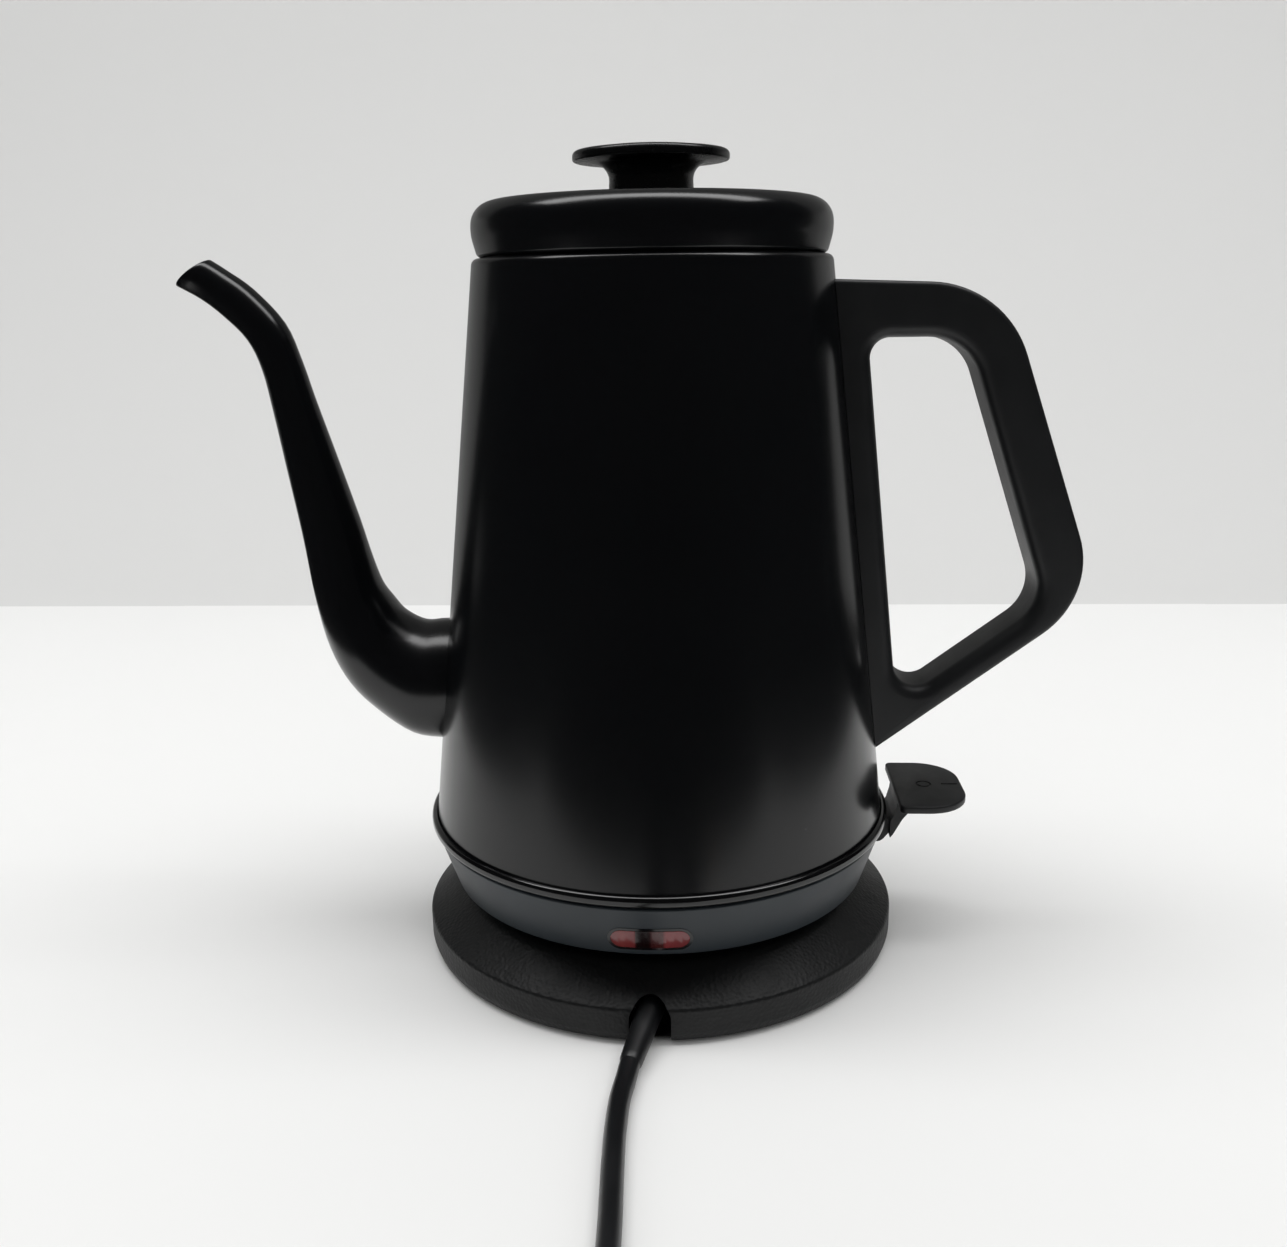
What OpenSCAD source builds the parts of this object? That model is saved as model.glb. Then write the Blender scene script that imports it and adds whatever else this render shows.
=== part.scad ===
// Cordless gooseneck electric kettle on a round power base.
// Millimetres, +Z up. The origin is on the table under the centre of the base.
// The spout points to -X, the handle to +X, and the mains lead leaves to -Y.

/* [Power base] */
// Radius of the base at its widest
base_r = 79.7; // [70:0.1:96]
// Height of the top of the base's upright side
base_side_top = 11.5; // [9.5:0.1:14]
// Radius at which the sloping top meets the flat deck
deck_r = 66; // [60:0.1:68]
// Height of the flat deck
deck_z = 20; // [17:0.1:24]
// Wall of the base's mouldings
base_wall = 2.2; // [1.6:0.1:2.6]
// How far the rubber feet hold the base off the table
foot_stand = 1.2; // [0.8:0.1:2]
// Radius of each rubber foot
foot_r = 6; // [4:0.1:7]
// Half width of the arched notch that the lead comes out of
notch_r = 6.2; // [5.5:0.1:6.4]

/* [Turning joint] */
// Radius of the collar of the base connector, on which the slip ring turns
hub_r = 24; // [22:0.1:27]
// Outer radius of the slip ring that carries the kettle
slip_r = 40; // [32:0.1:44]
// How far the slip ring stands above the deck
slip_stand = 2; // [1.5:0.1:3]
// Radius of the raised plug of the base connector
plug_boss_r = 16.5; // [15:0.1:18]
// Height of the raised plug above the deck
plug_boss_h = 15; // [12:0.1:16]

/* [Collar under the body] */
// Outer radius of the collar at its lower edge
collar_low_r = 70.2; // [68:0.1:73]
// Outer radius of the collar at its upper edge
collar_top_r = 76.2; // [75:0.1:77]
// Height of the collar
collar_h = 17.7; // [16.5:0.1:22]
// Wall of the collar
collar_wall = 2.4; // [1.8:0.1:2.8]
// How far the glossy rim bead stands out beyond the collar
rim_out = 1.4; // [0.8:0.1:3]
// Height of the rim bead
rim_h = 3.6; // [3:0.1:8]
// Half length of the lamp window
lens_half_l = 11.8; // [8:0.1:14]
// Half height of the lamp window
lens_half_h = 3.3; // [2:0.1:3.6]

/* [Body] */
// Radius of the body at its foot
body_foot_r = 75.8; // [72:0.1:76]
// Radius that the body's straight side would have at its top
body_top_r = 55.5; // [50:0.1:66]
// Height of the body's top above the table
body_top_z = 225; // [195:1:270]
// Thickness of the body's steel
body_wall = 0.8; // [0.6:0.1:1.2]
// Radius of the rounded shoulder
shoulder_round = 6; // [4:0.1:8]
// Radius of the mouth
mouth_r = 46; // [40:0.1:47]
// Depth of the lip that is turned down into the mouth
mouth_lip = 10; // [6:0.1:14]

/* [Spout] */
// Height at which the spout's root meets the body
spout_root_z = 88.6; // [80:0.1:100]
// Radius of the spout at its root
spout_root_r = 19.4; // [16:0.1:20.4]
// Wall of the spout
spout_wall = 1; // [0.8:0.1:1.4]

/* [Handle] */
// Depth of the handle from front to back
handle_depth = 22; // [18:0.1:26]
// How far the top of the handle lies below the top of the body
handle_drop = 6.9; // [4:0.1:12]
// Slope of the handle's top, downwards as it runs out
handle_top_slope = 0.052; // [0:0.001:0.1]
// Thickness of the strip that runs down the body
handle_strip = 8; // [7:0.1:11]
// Thickness of the cover strip round the outside of the handle
handle_cover_t = 2.2; // [1.6:0.1:2.6]

/* [Lid] */
// Largest radius of the lid
lid_r = 54.9; // [50:0.1:57]
// Height of the lid's side
lid_side_h = 15.4; // [12:0.1:20]
// Rise of the lid's crown above its side
lid_crown = 2.4; // [1:0.1:5]
// Radius of the knob's disc
knob_r = 23.9; // [18:0.1:28]
// Height of the knob
knob_h = 13.6; // [11:0.1:20]
// Radius of the knob's stem
knob_stem_r = 12.6; // [9:0.1:14]

/* [Switch] */
// Height of the lever's pivot above the deck
pivot_rise = 14; // [13:0.1:15.5]
// Distance of the lever's pivot from the middle of the kettle
pivot_x = 67; // [66:0.1:68]
// Radius of the lever's pivot pin
pivot_r = 1.5; // [1.2:0.1:1.8]
// Half width of the lever's paddle
paddle_half_w = 20; // [14:0.1:22]
// Distance of the paddle's tip from the middle of the kettle
paddle_tip_x = 103.5; // [98:0.1:110]
// Height of the paddle's top above the deck
paddle_rise = 30.6; // [29:0.1:32]

/* [Mains lead] */
// Diameter of the lead
cord_d = 6; // [5:0.1:7]
// Radius of the coil at the middle of its turns
coil_r = 33; // [30:0.5:36]

/* [Hidden] */
round_fn = 96;
small_fn = 32;
// Running clearance on a radius, and the gap left round a part that only passes through.
run = 0.05;
gap = 0.3;
eps = 0.01;

// Levels, from the table upwards.
plate_top = foot_stand + 2;
slip_seat = deck_z - 1.5;
seat_z = deck_z + slip_stand;
cover_t = 2;
collar_z = seat_z + 2.5;
collar_top = collar_z + collar_h;
neck_h = 0.8;
rim_z = collar_top + neck_h;
rim_top = rim_z + rim_h;
rim_r = collar_top_r + rim_out;
body_foot_z = rim_z + 1;
floor_z = body_foot_z + 2;
floor_t = 0.8;
spreader_t = 4;
spreader_z = floor_z - spreader_t;
boss_top = deck_z + plug_boss_h;
pivot_z = deck_z + pivot_rise;
paddle_top_z = deck_z + paddle_rise;

// Outer radius of the body's cone at a height, and of the collar.
body_slope = (body_foot_r - body_top_r) / (body_top_z - body_foot_z);
function body_r(z) = body_top_r + (body_top_z - z) * body_slope;
collar_slope = (collar_top_r - collar_low_r) / collar_h;
function collar_r(z) = collar_low_r + (z - collar_z) * collar_slope;

// ---- outlines with rounded corners ----

function unit(v) = v / norm(v);
function flat(p) = [p[0], p[1]];
function near_turn(a) = a > 180 ? a - 360 : (a < -180 ? a + 360 : a);

// The arc that rounds corner p, between its neighbours a and b. p[2] is the radius, if any.
function corner(a, p, b, steps) =
    len(p) < 3 || p[2] <= 0 ? [flat(p)] :
    let (
        u = unit(flat(a) - flat(p)),
        v = unit(flat(b) - flat(p)),
        half = acos(max(-1, min(1, u * v))) / 2,
        mid = flat(p) + unit(u + v) * p[2] / sin(half),
        start = flat(p) + u * p[2] / tan(half) - mid,
        end = flat(p) + v * p[2] / tan(half) - mid,
        a0 = atan2(start[1], start[0]),
        turn = near_turn(atan2(end[1], end[0]) - a0)
    )
    [for (i = [0:steps]) mid + p[2] * [cos(a0 + turn * i / steps), sin(a0 + turn * i / steps)]];

// A closed outline from corners [x, y, radius].
function rounded(pts, steps = 6) = [
    for (i = [0:len(pts) - 1])
        each corner(pts[(i + len(pts) - 1) % len(pts)], pts[i], pts[(i + 1) % len(pts)], steps)
];

// The same convex corners moved in by d, with their radii to match.
function inset(pts, d) = [
    for (i = [0:len(pts) - 1])
        let (
            p = flat(pts[i]),
            u = unit(flat(pts[(i + len(pts) - 1) % len(pts)]) - p),
            v = unit(flat(pts[(i + 1) % len(pts)]) - p),
            half = acos(max(-1, min(1, u * v))) / 2,
            q = p + unit(u + v) * d / sin(half)
        )
        [q[0], q[1], max(0, pts[i][2] - d)]
];

module turned(pts, steps = 6) {
    rotate_extrude($fn = round_fn) polygon(rounded(pts, steps));
}

module ring(r_out, r_in, z0, z1) {
    difference() {
        translate([0, 0, z0]) cylinder(r = r_out, h = z1 - z0, $fn = round_fn);
        translate([0, 0, z0 - 1]) cylinder(r = r_in, h = z1 - z0 + 2, $fn = round_fn);
    }
}

// Places its children round a circle at the listed angles.
module around(angles, r) {
    for (a = angles) rotate([0, 0, a]) translate([r, 0, 0]) children();
}

// A screw with its head at the bottom, at z = 0, and its shank upwards.
module screw_up(shank_r, shank_l, head_r, head_h) {
    difference() {
        cylinder(r = head_r, h = head_h, $fn = small_fn);
        translate([-head_r * 0.7, -0.4, -eps]) cube([head_r * 1.4, 0.8, head_h / 2]);
        translate([-0.4, -head_r * 0.7, -eps]) cube([0.8, head_r * 1.4, head_h / 2]);
    }
    cylinder(r = shank_r, h = shank_l, $fn = small_fn);
}

// ---- swept tubes: rings of n points round a route ----

function pick(list, i) = list[max(0, min(len(list) - 1, i))];

// A smooth curve through the points, with `steps` parts to each stretch.
function smooth(pts, steps) = [
    for (i = [0:len(pts) - 2], k = [0:steps - (i == len(pts) - 2 ? 0 : 1)])
        let (
            t = k / steps,
            a = pick(pts, i - 1), b = pts[i], c = pts[i + 1], d = pick(pts, i + 2)
        )
        0.5 * (2 * b + (c - a) * t + (2 * a - 5 * b + 4 * c - d) * t * t
            + (3 * b - a - 3 * c + d) * t * t * t)
];

function tube_ring(c, dir, r, n) =
    let (side = unit(cross(dir, [0, 0, 1])), up = cross(side, dir))
    [for (k = [0:n - 1]) c + r * (side * cos(360 * k / n) + up * sin(360 * k / n))];

function grid_faces(rings, n) = [
    for (i = [0:rings - 2], k = [0:n - 1])
        let (a = i * n + k, b = i * n + (k + 1) % n)
        each [[a, b, b + n], [a, b + n, a + n]]
];

// r0 and r1 are the radii at the start and the end of the route.
module swept(route, r0, r1, n) {
    last = len(route) - 1;
    pts = [
        for (i = [0:last])
            each tube_ring(route[i], unit(pick(route, i + 1) - pick(route, i - 1)),
                r0 + (r1 - r0) * i / last, n)
    ];
    polyhedron(points = pts, faces = concat(
        grid_faces(last + 1, n),
        [[for (k = [n - 1:-1:0]) k]],
        [[for (k = [0:n - 1]) last * n + k]]
    ));
}

// ---- power base ----

base_screw_angles = [30, 150, 210, 330];
base_screw_r = 54;
foot_angles = [45, 135, 225, 315];
foot_ring_r = base_r - base_wall - foot_r - 7.5;
notch_z = 8.2;
// What is left of the bottom plate under the lead, where it runs into the notch.
notch_floor = 0.6;
screw_r = 1.3;

module notch_tunnel(clearance) {
    translate([0, -deck_r + 2, notch_z]) rotate([90, 0, 0])
        cylinder(r = notch_r + clearance, h = base_r, $fn = small_fn);
    translate([-notch_r - clearance, -deck_r + 2 - base_r, -1])
        cube([2 * (notch_r + clearance), base_r, notch_z + 1]);
}

module base_cover() {
    under = deck_z - base_wall;
    seat_under = slip_seat - base_wall;
    color("#1c1d1f") difference() {
        union() {
            turned([
                [base_r - 0.9, foot_stand, 0.4], [base_r, foot_stand + 2.5, 3],
                [base_r, base_side_top, 1.6], [deck_r, deck_z, 4],
                [slip_r + gap, deck_z, 0.4], [slip_r + gap, slip_seat],
                [hub_r + 0.1, slip_seat], [hub_r + 0.1, seat_under],
                [slip_r + gap + base_wall, seat_under],
                [slip_r + gap + base_wall + 1, under], [deck_r - 0.6, under, 3],
                [base_r - base_wall, base_side_top - 1.4, 1], [base_r - base_wall, foot_stand]
            ]);
            around(base_screw_angles, base_screw_r)
                translate([0, 0, plate_top])
                    cylinder(r = 3.6, h = under - plate_top + 0.5, $fn = small_fn);
        }
        notch_tunnel(0);
        around(base_screw_angles, base_screw_r)
            translate([0, 0, plate_top - 1]) cylinder(r = screw_r, h = 10, $fn = small_fn);
    }
}

module base_bottom() {
    color("#161718") difference() {
        translate([0, 0, foot_stand])
            cylinder(r = base_r - base_wall - 0.2, h = plate_top - foot_stand, $fn = round_fn);
        translate([-notch_r, -deck_r + 2 - base_r, foot_stand + notch_floor])
            cube([2 * notch_r, base_r, plate_top]);
        around(foot_angles, foot_ring_r)
            translate([0, 0, -1]) cylinder(r = foot_r, h = foot_stand + 2, $fn = small_fn);
        translate([0, 0, -1]) cylinder(r = foot_r, h = foot_stand + 2, $fn = small_fn);
        around(base_screw_angles, base_screw_r) {
            cylinder(r = 3.1, h = foot_stand + 1, $fn = small_fn);
            cylinder(r = screw_r, h = plate_top + 1, $fn = small_fn);
        }
    }
}

// Four feet near the edge, and a plain pad in the middle that takes the weight of the kettle.
module base_feet() {
    color("#2a2a2b") {
        around(foot_angles, foot_ring_r) difference() {
            cylinder(r = foot_r, h = foot_stand + 1, $fn = small_fn);
            translate([0, 0, -1]) cylinder(r = foot_r * 0.4, h = 1.4, $fn = small_fn);
        }
        cylinder(r = foot_r, h = foot_stand + 1, $fn = small_fn);
    }
}

module base_screws() {
    color("#8f9294") around(base_screw_angles, base_screw_r)
        translate([0, 0, foot_stand - 0.2]) screw_up(screw_r, 9, 3, 1.1);
}

// The grooves that the kettle's contact rings dip into.
groove_1 = [7, 9.8];
groove_2 = [12.2, 14.6];
pin_hole_r = 3;
groove_depth = 10;
socket_foot_r = 12;

module base_connector() {
    flange_z = slip_seat - base_wall - 4;
    color("#111213") difference() {
        union() {
            turned([
                [0, flange_z], [hub_r + 4, flange_z], [hub_r + 4, slip_seat - base_wall],
                [hub_r, slip_seat - base_wall], [hub_r, seat_z, 0.6], [plug_boss_r + 1.5, seat_z],
                [plug_boss_r, seat_z + 1.5], [plug_boss_r, boss_top, 1.2], [0, boss_top]
            ]);
            translate([0, 0, plate_top])
                cylinder(r = socket_foot_r, h = flange_z - plate_top + 1, $fn = round_fn);
        }
        translate([0, 0, boss_top - groove_depth - 5])
            cylinder(r = pin_hole_r, h = 40, $fn = small_fn);
        for (g = [groove_1, groove_2])
            ring(g[1], g[0], boss_top - groove_depth, boss_top + 5);
    }
}

// Spring leaves that touch the kettle's pin and rings.
module base_contacts() {
    leaf_z = boss_top - groove_depth;
    color("#c9a35a") {
        ring(pin_hole_r, pin_hole_r - 0.7, leaf_z - 4.8, leaf_z + 5);
        translate([groove_1[0], -2, leaf_z]) cube([0.6, 4, 8]);
        translate([groove_2[0] + 0.05, -2, leaf_z]) cube([0.5, 4, 8]);
    }
}

module base_leads() {
    colors = ["#5d3a1e", "#2b4f8f", "#3f7d3a"];
    for (i = [0:2])
        color(colors[i]) translate([(i - 1) * 3.2, clamp_l - clamp_y, notch_z]) rotate([-90, 0, 0])
            cylinder(r = 1.2, h = clamp_y - clamp_l - socket_foot_r, $fn = small_fn);
    color("#121314") translate([0, -clamp_y, notch_z]) rotate([-90, 0, 0])
        cylinder(d = cord_d, h = clamp_l, $fn = small_fn);
}

// The clamp grips the lead inside the base, at clamp_y in front of the middle.
clamp_y = 62;
clamp_w = 26;
clamp_l = 12;
clamp_h = 9;
clamp_screw_x = 8.5;
clamp_head_h = 1.6;

module cord_clamp() {
    color("#3a3b3d") difference() {
        translate([-clamp_w / 2, -clamp_y, plate_top]) cube([clamp_w, clamp_l, clamp_h]);
        translate([0, -clamp_y - 1, notch_z]) rotate([-90, 0, 0])
            cylinder(d = cord_d, h = clamp_l + 2, $fn = small_fn);
        for (s = [-1, 1]) translate([s * clamp_screw_x, clamp_l / 2 - clamp_y, plate_top - 1])
            cylinder(r = screw_r, h = clamp_h + 2, $fn = small_fn);
    }
}

module clamp_screws() {
    color("#8f9294") for (s = [-1, 1])
        translate([s * clamp_screw_x, clamp_l / 2 - clamp_y, plate_top + clamp_h + clamp_head_h])
            rotate([180, 0, 0]) screw_up(screw_r, clamp_h + clamp_head_h - 1, 2.6, clamp_head_h);
}

// ---- mains lead ----

// Middle of the lead: out of the clamp, through the notch and along the table. These points are
// [x, distance out from the edge of the base, z].
function beyond_edge(pts) = [for (p = pts) [p[0], -base_r - p[1], p[2]]];
relief_route = concat(
    [[0, -clamp_y, notch_z], [0, -(clamp_y + base_r) / 2, 8]],
    beyond_edge([[-1.4, -1.7, 6.8], [-3.2, 6.3, 5.2], [-5, 14.3, 3.8]])
);
lead_route = beyond_edge([
    [-5, 14.3, 3.8], [-5.8, 20.3, 3.2], [-6.8, 28.3, 3], [-7.2, 40.3, 3], [-7, 52.3, 3],
    [-6.5, 65.3, 3], [-6, 78.3, 3], [-5.8, 92.3, 3], [-5.8, 106.3, 3.1], [-5.9, 120.3, 3.3],
    [-6, 132.3, 3.5], [-6, 142.3, 3.6]
]);
coil_x = 30;
coil_y = -base_r - 142.3;
tail_y = coil_y - coil_r - cord_d / 2;
tail_route = [
    [30, tail_y, 9.6], [36, tail_y, 9.5], [46, tail_y, 9.2], [58, tail_y, 8.6], [70, tail_y, 8]
];
coil_lift = 0.6;
relief_r0 = 4.6;
relief_r1 = 3.5;
plug_x = 70;
plug_y = tail_y;
plug_z = 8;
plug_l = 34;
blade_l = 17;

module strain_relief() {
    color("#141516") swept(smooth(relief_route, 2), relief_r0, relief_r1, 12);
}

module mains_cord() {
    color("#121314") {
        swept(smooth(lead_route, 1), cord_d / 2, cord_d / 2, 10);
        swept(tail_route, cord_d / 2, cord_d / 2, 10);
    }
}

// Two layers of two turns, as one ring that the lead and the tail run into.
module cord_coil() {
    half = cord_d;
    low = coil_lift;
    color("#121314") translate([coil_x, coil_y, 0]) rotate_extrude($fn = 64) polygon(rounded([
        [coil_r - half, low, 2.6], [coil_r + half, low, 2.6],
        [coil_r + half, low + 2 * half, 2.6], [coil_r - half, low + 2 * half, 2.6]
    ], 4));
}

tie_w = 8;
module coil_tie() {
    t = coil_lift;
    half = cord_d;
    color("#202122") translate([coil_x + coil_r, coil_y, 0]) difference() {
        translate([-half - t - 0.8, -tie_w / 2, 0])
            cube([2 * half + 2 * t + 1.6, tie_w, 2 * half + 2 * t]);
        translate([-half - 0.8, -tie_w, t]) cube([2 * half + 1.6, 2 * tie_w, 2 * half]);
    }
}

module mains_plug() {
    color("#141516") translate([plug_x, plug_y, plug_z]) rotate([0, 90, 0]) {
        difference() {
            linear_extrude(plug_l) polygon(rounded([
                [-8, -12, 5], [8, -12, 5], [8, 12, 5], [-8, 12, 5]
            ]));
            translate([0, 0, -eps]) for (s = [-1, 1], k = [0:3])
                translate([-9, s * 12.6 - 1, 8 + 4 * k]) cube([18, 2, 1.6]);
        }
    }
}

module plug_blades() {
    color("#c8b27a") for (s = [-1, 1])
        translate([plug_x + plug_l, plug_y + s * 6.35 - 0.75, plug_z - 3.2]) difference() {
            cube([blade_l, 1.5, 6.4]);
            translate([blade_l - 4, -1, 3.2]) rotate([-90, 0, 0])
                cylinder(r = 1.5, h = 4, $fn = small_fn);
        }
}

// ---- turning joint ----

module slip_ring() {
    color("#2b2c2e") turned([
        [hub_r + run, slip_seat], [slip_r, slip_seat], [slip_r, seat_z, 0.5], [hub_r + run, seat_z]
    ]);
}

// ---- vessel ----

module body_shell() {
    inner_top = body_top_z - body_wall;
    color("#0e0f11") difference() {
        turned([
            [mouth_r, body_top_z, 0.5],
            [body_top_r, body_top_z, shoulder_round],
            [body_foot_r, body_foot_z],
            [body_foot_r - body_wall, body_foot_z],
            [body_top_r - body_wall, inner_top, shoulder_round - body_wall],
            [mouth_r + body_wall, inner_top],
            [mouth_r + body_wall, body_top_z - mouth_lip],
            [mouth_r, body_top_z - mouth_lip]
        ], 8);
        translate([-body_foot_r - 5, 0, spout_root_z]) rotate([0, 90, 0])
            cylinder(r = spout_root_r - spout_wall, h = body_foot_r, $fn = 64);
    }
}

// Pairs of points on the lower and the upper line of the spout, in the XZ plane, from where it
// clears the body to the slanted mouth.
spout_pairs = [
    [[-82.2, 70.7], [-79, 107.6]],
    [[-93.4, 78.2], [-86, 111.3]],
    [[-102.6, 87.4], [-90, 116.4]],
    [[-109.1, 99.9], [-93.2, 121.7]],
    [[-113.1, 116.7], [-95.9, 130.7]],
    [[-116.1, 139.6], [-98.9, 142.8]],
    [[-119.3, 160.3], [-105.1, 164.2]],
    [[-122.1, 178.5], [-110.3, 181.7]],
    [[-124.6, 192.2], [-113.8, 194.4]],
    [[-128.6, 201.9], [-118.2, 206.1]],
    [[-135.7, 209.5], [-127.2, 216.4]],
    [[-142.6, 215], [-135.4, 222.4]],
    [[-150.2, 219.3], [-140.2, 225.5]]
];
spout_sides = 24;

// The root ring, in the plane x = -body_foot_r, before it is laid on the body.
root_pair = [[-72, spout_root_z - spout_root_r], [-72, spout_root_z + spout_root_r]];
spout_lines = smooth([
    for (p = concat([root_pair], spout_pairs)) [p[0][0], p[0][1], p[1][0], p[1][1]]
], 2);

// One ring of the spout's surface, drawn in by `wall`. The first ring lies in the body's wall.
function spout_ring(i, wall) =
    let (
        q = spout_lines[i],
        low = [q[0], 0, q[1]],
        high = [q[2], 0, q[3]],
        mid = (low + high) / 2,
        half = norm(high - low) / 2,
        up = unit(high - low),
        width = i == len(spout_lines) - 1 ? half * 0.93 : half
    )
    [
        for (k = [0:spout_sides - 1])
            let (
                a = 360 * k / spout_sides,
                p = mid + up * (half - wall) * cos(a) + [0, (width - wall) * sin(a), 0],
                laid = -sqrt(pow(body_r(p[2]) - body_wall / 2, 2) - p[1] * p[1])
            )
            i == 0 ? [laid, p[1], p[2]] : p
    ];

module spout() {
    count = len(spout_lines);
    n = spout_sides;
    outer = [for (i = [0:count - 1]) each spout_ring(i, 0)];
    inner = [for (i = [0:count - 1]) each spout_ring(i, spout_wall)];
    shift = count * n;
    last = (count - 1) * n;
    color("#0e0f11") polyhedron(
        points = concat(outer, inner),
        faces = concat(
            [for (f = grid_faces(count, n)) [f[2], f[1], f[0]]],
            [for (f = grid_faces(count, n)) [f[0] + shift, f[1] + shift, f[2] + shift]],
            [for (k = [0:n - 1]) let (b = (k + 1) % n) each
                [[k, b, b + shift], [k, b + shift, k + shift]]],
            [for (k = [0:n - 1]) let (b = (k + 1) % n) each
                [[last + b, last + k, last + k + shift], [last + b, last + k + shift, last + b + shift]]]
        )
    );
}

// A perforated disc inside the body, over the root of the spout.
module spout_strainer() {
    strainer_r = spout_root_r + 2;
    strainer_gap = 0.1;
    sheet = 0.6;
    x = body_r(spout_root_z + strainer_r) - body_wall - 4;
    color("#b9bcbe") {
        translate([-x, 0, spout_root_z]) rotate([0, 90, 0]) difference() {
            cylinder(r = strainer_r, h = sheet, $fn = 48);
            translate([0, 0, -1]) for (r = [0:4:spout_root_r - 3], a = [0:360 / max(1, r * 1.5):359])
                rotate([0, 0, a]) translate([r, 0, 0]) cylinder(r = 0.9, h = 3, $fn = 16);
        }
        intersection() {
            translate([-x - 12, 0, spout_root_z]) rotate([0, 90, 0])
                ring(strainer_r, strainer_r - sheet, 0, 12 + sheet / 2);
            body_cone(-body_wall - strainer_gap);
        }
    }
}

tube_x = 53;
tube_r = 3;

module heater_plate() {
    color("#c2c5c7") difference() {
        translate([0, 0, floor_z])
            cylinder(r = body_r(floor_z + floor_t) - body_wall, h = floor_t, $fn = round_fn);
        translate([tube_x, 0, floor_z - 1]) cylinder(r = tube_r, h = 5, $fn = small_fn);
    }
}

spreader_r = 46;
module heat_spreader() {
    color("#a9adb0") translate([0, 0, spreader_z])
        cylinder(r = spreader_r, h = spreader_t, $fn = round_fn);
}

element_ring_r = 41;
element_r = 3.3;
module heating_element() {
    color("#7d8083") {
        translate([0, 0, spreader_z - element_r]) rotate([0, 0, 120])
            rotate_extrude(angle = 300, $fn = round_fn)
                translate([element_ring_r, 0]) circle(r = element_r, $fn = small_fn);
        around([60 + 1.5, 120 - 1.5], element_ring_r)
            translate([0, 0, spreader_z - element_r - 6]) cylinder(r = 1.6, h = 6, $fn = small_fn);
    }
}

kettle_pin_r = 1.9;
contact_ring_1 = [8, 8.8];
contact_ring_2 = [13, 13.8];
connector_roof = boss_top + 1;
connector_r = 23;

module connector_pins() {
    contact_tip = boss_top - groove_depth + 2;
    color("#c9a35a") {
        translate([0, 0, contact_tip - 2])
            cylinder(r = kettle_pin_r, h = connector_roof + 2 - contact_tip + 2, $fn = small_fn);
        ring(contact_ring_1[1], contact_ring_1[0], contact_tip, connector_roof + 2);
        ring(contact_ring_2[1], contact_ring_2[0], contact_tip, connector_roof + 2);
    }
}

module kettle_connector() {
    cavity_r = plug_boss_r + 0.7;
    color("#1a1b1c") difference() {
        turned([
            [cavity_r + 1, seat_z + 0.4], [connector_r, seat_z + 0.4], [connector_r, spreader_z],
            [0, spreader_z], [0, connector_roof], [cavity_r, connector_roof],
            [cavity_r, seat_z + 2.2]
        ]);
        translate([0, 0, connector_roof - 1])
            cylinder(r = kettle_pin_r, h = 3, $fn = small_fn);
        for (c = [contact_ring_1, contact_ring_2])
            ring(c[1], c[0], connector_roof - 1, connector_roof + 2);
    }
}

module steam_tube() {
    color("#b9bcbe") difference() {
        translate([tube_x, 0, floor_z - 1.5])
            cylinder(r = tube_r, h = body_top_z - 17 - floor_z, $fn = small_fn);
        translate([tube_x, 0, floor_z - 3])
            cylinder(r = tube_r - 0.5, h = body_top_z, $fn = small_fn);
    }
}

module tube_seal() {
    color("#8c2f26") translate([tube_x, 0, 0]) ring(tube_r + 3, tube_r, floor_z - 1, floor_z);
}

// ---- steam switch and lever ----

switch_x0 = 50;
switch_x1 = pivot_x - 1;
switch_w = 18;
switch_z0 = collar_z + 4.2;
switch_top = floor_z - 1;
hub_half_w = 5.2;
ear_w = 2.6;
plunger_x = pivot_x - 7.5;
plunger_r = 1.5;
plunger_z = pivot_z + 2;
plunger_l = 5.4;
guide_z = pivot_z + 4;
guide_t = 3;
disc_r = 5;
disc_z = (switch_z0 + guide_z) / 2 + 1.5;

module steam_switch() {
    color("#d8d6cf") difference() {
        union() {
            translate([switch_x0, -switch_w / 2, switch_z0])
                cube([switch_x1 - switch_x0, switch_w, switch_top - switch_z0]);
            for (s = [-1, 1]) translate([0, s * (hub_half_w + 0.4 + ear_w / 2), 0]) {
                translate([pivot_x, ear_w / 2, pivot_z]) rotate([90, 0, 0])
                    cylinder(r = 3, h = ear_w, $fn = small_fn);
                translate([switch_x1 - 1, -ear_w / 2, pivot_z - 3])
                    cube([pivot_x - switch_x1 + 1, ear_w, 6]);
            }
        }
        translate([switch_x0 + 3, -6, switch_z0 + 1.4])
            cube([switch_x1 - switch_x0, 12, guide_z - switch_z0 - 1.4]);
        translate([switch_x0 + 6, -5, guide_z + guide_t]) cube([8, 10, 2.6]);
        translate([plunger_x, 0, guide_z - 1])
            cylinder(r = plunger_r + run, h = guide_t + 2, $fn = small_fn);
        translate([pivot_x, switch_w, pivot_z]) rotate([90, 0, 0])
            cylinder(r = pivot_r, h = 2 * switch_w, $fn = small_fn);
        translate([switch_x0 - 1, 0, disc_z]) rotate([0, 90, 0])
            cylinder(r = disc_r + 0.4, h = 2.4, $fn = small_fn);
        translate([tube_x, 0, switch_top - 0.5]) cylinder(r = tube_r, h = 2, $fn = small_fn);
        translate([tube_x, 0, switch_top - 4]) cylinder(r = tube_r - 0.5, h = 6, $fn = small_fn);
    }
}

module steam_bimetal() {
    color("#a8915f") translate([switch_x0 + 0.6, 0, disc_z]) rotate([0, 90, 0])
        cylinder(r = disc_r, h = 0.4, $fn = small_fn);
}

// Two fixed leaves at the sides of the chamber above the plunger.
module switch_contacts() {
    color("#c9a35a") for (s = [-1, 1])
        translate([switch_x0 + 7, s * 3.6 - 1.2, guide_z + guide_t]) cube([6, 2.4, 0.5]);
}

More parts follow.
